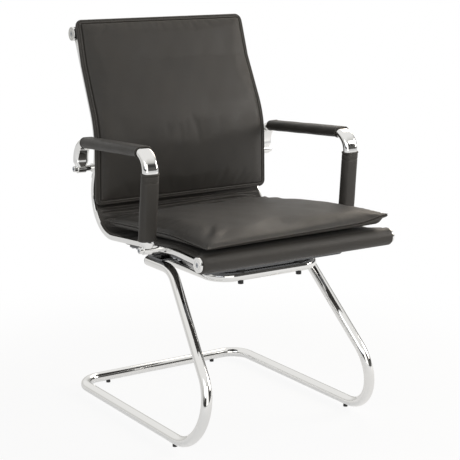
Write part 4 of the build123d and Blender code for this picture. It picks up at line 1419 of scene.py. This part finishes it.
@dataclass
class Studio:
    """Pale floor, white surroundings, soft lamps and the camera of the photograph."""

    eye: tuple[float, float, float] = (-1.7367, -2.69255, 1.1528)
    azimuth_deg: float = -33.088
    dip_deg: float = 12.496
    lens_px: float = 1362.8
    image_px: float = 460.0
    shade_tilt: tuple[float, float, float] = (-0.11, 0.3, 1.0)
    shade_shift: float = 0.12
    shade_stops: tuple[tuple[float, str], ...] = (
        (0.0, "#5c5b59"), (0.07, "#3a3a3a"), (0.26, "#474645"), (0.42, "#cecdc9"), (0.75, "#f7f6f4"),
    )
    ambient: float = 0.38
    floor_gloss: float = 0.55
    floor_half: float = 12.0
    fade_from: tuple[float, float] = (0.5, 1.3)
    fade_to: tuple[float, float] = (0.9, 1.0)
    aim: tuple[float, float, float] = (0.0, 0.0, 0.55)
    lamps: tuple[tuple[str, tuple[float, float, float], float, float, str], ...] = (
        ("key_box", (2.7, -1.6, 1.6), 1.5, 54.0, "#fffaf4"),
        ("fill_box", (-2.6, -1.8, 1.8), 1.8, 16.0, "#f6f9ff"),
        ("top_box", (1.9, 1.0, 2.0), 1.3, 16.0, "#fff0dc"),
        ("front_box", (-0.9, -3.3, 1.3), 2.4, 26.0, "#fffdf8"),
    )

    def camera(self) -> None:
        """Set up the camera at the photograph's place and angle of view."""
        data = bpy.data.cameras.new("photo_camera")
        data.sensor_width = 36.0
        data.lens = self.lens_px / self.image_px * data.sensor_width
        camera = bpy.data.objects.new("photo_camera", data)
        camera.location = self.eye
        camera.rotation_euler = (math.radians(90 - self.dip_deg), 0.0, math.radians(self.azimuth_deg))
        bpy.context.scene.collection.objects.link(camera)
        bpy.context.scene.camera = camera

    def floor(self) -> None:
        """Lay a pale floor that reads as white and keeps a faint shadow."""
        material, tree = blank_material("studio_floor")
        path = add(tree, "ShaderNodeLightPath").outputs
        seen = add(
            tree,
            "ShaderNodeMath",
            {0: path["Is Glossy Ray"], 1: self.floor_gloss, 2: path["Is Camera Ray"]},
            operation="MULTIPLY_ADD",
            use_clamp=True,
        )
        seen = add(
            tree,
            "ShaderNodeMath",
            {0: seen.outputs["Value"], 1: path["Is Transmission Ray"]},
            operation="ADD",
            use_clamp=True,
        )
        place = add(tree, "ShaderNodeTexCoord").outputs["Object"]
        away = add(tree, "ShaderNodeVectorMath", {0: place}, operation="LENGTH")
        fade = remap(
            tree, away.outputs["Value"], self.fade_from, self.fade_to, interpolation_type="SMOOTHSTEP"
        )
        share = add(tree, "ShaderNodeMath", {0: seen.outputs["Value"], 1: fade}, operation="MULTIPLY")
        paint = add(tree, "ShaderNodeBsdfDiffuse", {"Color": linear("#f2f2f2")})
        glow = add(tree, "ShaderNodeEmission", {"Color": linear("#ffffff"), "Strength": 1.0})
        mixed = add(
            tree,
            "ShaderNodeMixShader",
            {0: share.outputs["Value"], 1: paint.outputs["BSDF"], 2: glow.outputs["Emission"]},
        )
        add(tree, "ShaderNodeOutputMaterial", {"Surface": mixed.outputs["Shader"]})
        mesh = bpy.data.meshes.new("studio_floor")
        far = self.floor_half
        corners = [(-far, -far, 0), (far, -far, 0), (far, far, 0), (-far, far, 0)]
        mesh.from_pydata(corners, [], [(0, 1, 2, 3)])
        mesh.materials.append(material)
        floor = bpy.data.objects.new("studio_floor", mesh)
        bpy.context.scene.collection.objects.link(floor)

    def surroundings(self) -> None:
        """Fill the world with soft light, white to the eye, with a band of shade for the chrome."""
        world = bpy.data.worlds.new("studio")
        bpy.context.scene.world = world
        world.use_nodes = True
        tree = world.node_tree
        tree.nodes.clear()
        path = add(tree, "ShaderNodeLightPath").outputs
        place = add(tree, "ShaderNodeTexCoord").outputs["Generated"]
        # The studio is darker towards the front right, where the band of shade stands higher
        height = add(tree, "ShaderNodeVectorMath", {0: place, 1: self.shade_tilt}, operation="DOT_PRODUCT")
        shifted = {0: height.outputs["Value"], 1: self.shade_shift}
        height = add(tree, "ShaderNodeMath", shifted, operation="ADD")
        ramp = add(tree, "ShaderNodeValToRGB", {"Fac": height.outputs["Value"]})
        elements = ramp.color_ramp.elements
        for element, (position, colour) in zip(elements, (self.shade_stops[0], self.shade_stops[-1])):
            element.position = position
            element.color = linear(colour)
        for position, colour in self.shade_stops[1:-1]:
            elements.new(position).color = linear(colour)
        mirror = add(tree, "ShaderNodeBackground", {"Color": ramp.outputs["Color"], "Strength": 1.0})
        soft = add(tree, "ShaderNodeBackground", {"Color": linear("#fbfaf8"), "Strength": self.ambient})
        white = add(tree, "ShaderNodeBackground", {"Color": linear("#ffffff"), "Strength": 1.0})
        first = add(
            tree,
            "ShaderNodeMixShader",
            {0: path["Is Glossy Ray"], 1: soft.outputs["Background"], 2: mirror.outputs["Background"]},
        )
        direct = add(
            tree,
            "ShaderNodeMath",
            {0: path["Is Camera Ray"], 1: path["Is Transmission Ray"]},
            operation="ADD",
            use_clamp=True,
        )
        second = add(
            tree,
            "ShaderNodeMixShader",
            {0: direct.outputs["Value"], 1: first.outputs["Shader"], 2: white.outputs["Background"]},
        )
        add(tree, "ShaderNodeOutputWorld", {"Surface": second.outputs["Shader"]})

    def lamp(
        self, name: str, spot: tuple[float, float, float], size: float, power: float, colour: str
    ) -> None:
        """Hang one soft box that shines at the seat.

        Args:
            name: Name of the lamp.
            spot: Its place.
            size: Side of its square face.
            power: Its power in watts.
            colour: Its colour.
        """
        data = bpy.data.lights.new(name, "AREA")
        data.size = size
        data.energy = power
        data.color = linear(colour)[:3]
        lamp = bpy.data.objects.new(name, data)
        lamp.location = spot
        lamp.rotation_euler = (Vector(self.aim) - Vector(spot)).to_track_quat("-Z", "Y").to_euler()
        lamp.visible_camera = False
        bpy.context.scene.collection.objects.link(lamp)

    def build(self) -> None:
        """Build the whole studio."""
        self.camera()
        self.floor()
        self.surroundings()
        for lamp in self.lamps:
            self.lamp(*lamp)
        bpy.context.scene.view_settings.view_transform = "Standard"


def main() -> None:
    """Build the chair's soft pieces, finish its metalwork and set up the studio."""
    logging.basicConfig(level=logging.INFO, format="%(name)s: %(message)s")
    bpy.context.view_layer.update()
    finishes = {slot: finish.build() for slot, finish in FINISHES.items()}
    thread = Thread().build()
    leather = finishes[Slot.LEATHER]
    rails = SideRails()
    Studio().build()
    finish_metalwork(finishes)
    BackPad(rails).build(leather, thread)
    SeatPad(rails).build(leather, thread)
    back_corners = [rails.seam, rails.corner, rails.lumbar, rails.top_roll]
    back_line = SideLine(back_corners, [rails.corner_r, rails.lumbar_r])
    BackSling(rails, "back_sling_band", "back_sling", back_line, TOP_ROLL_R).build(leather, thread)
    seat_line = SideLine([rails.seam, rails.crest, rails.front_roll], [rails.crest_r])
    SeatSling(rails, "seat_sling_band", "seat_sling", seat_line, FRONT_ROLL_R).build(leather, thread)
    Armrests(rails).build(leather)


if __name__ == "__main__":
    main()
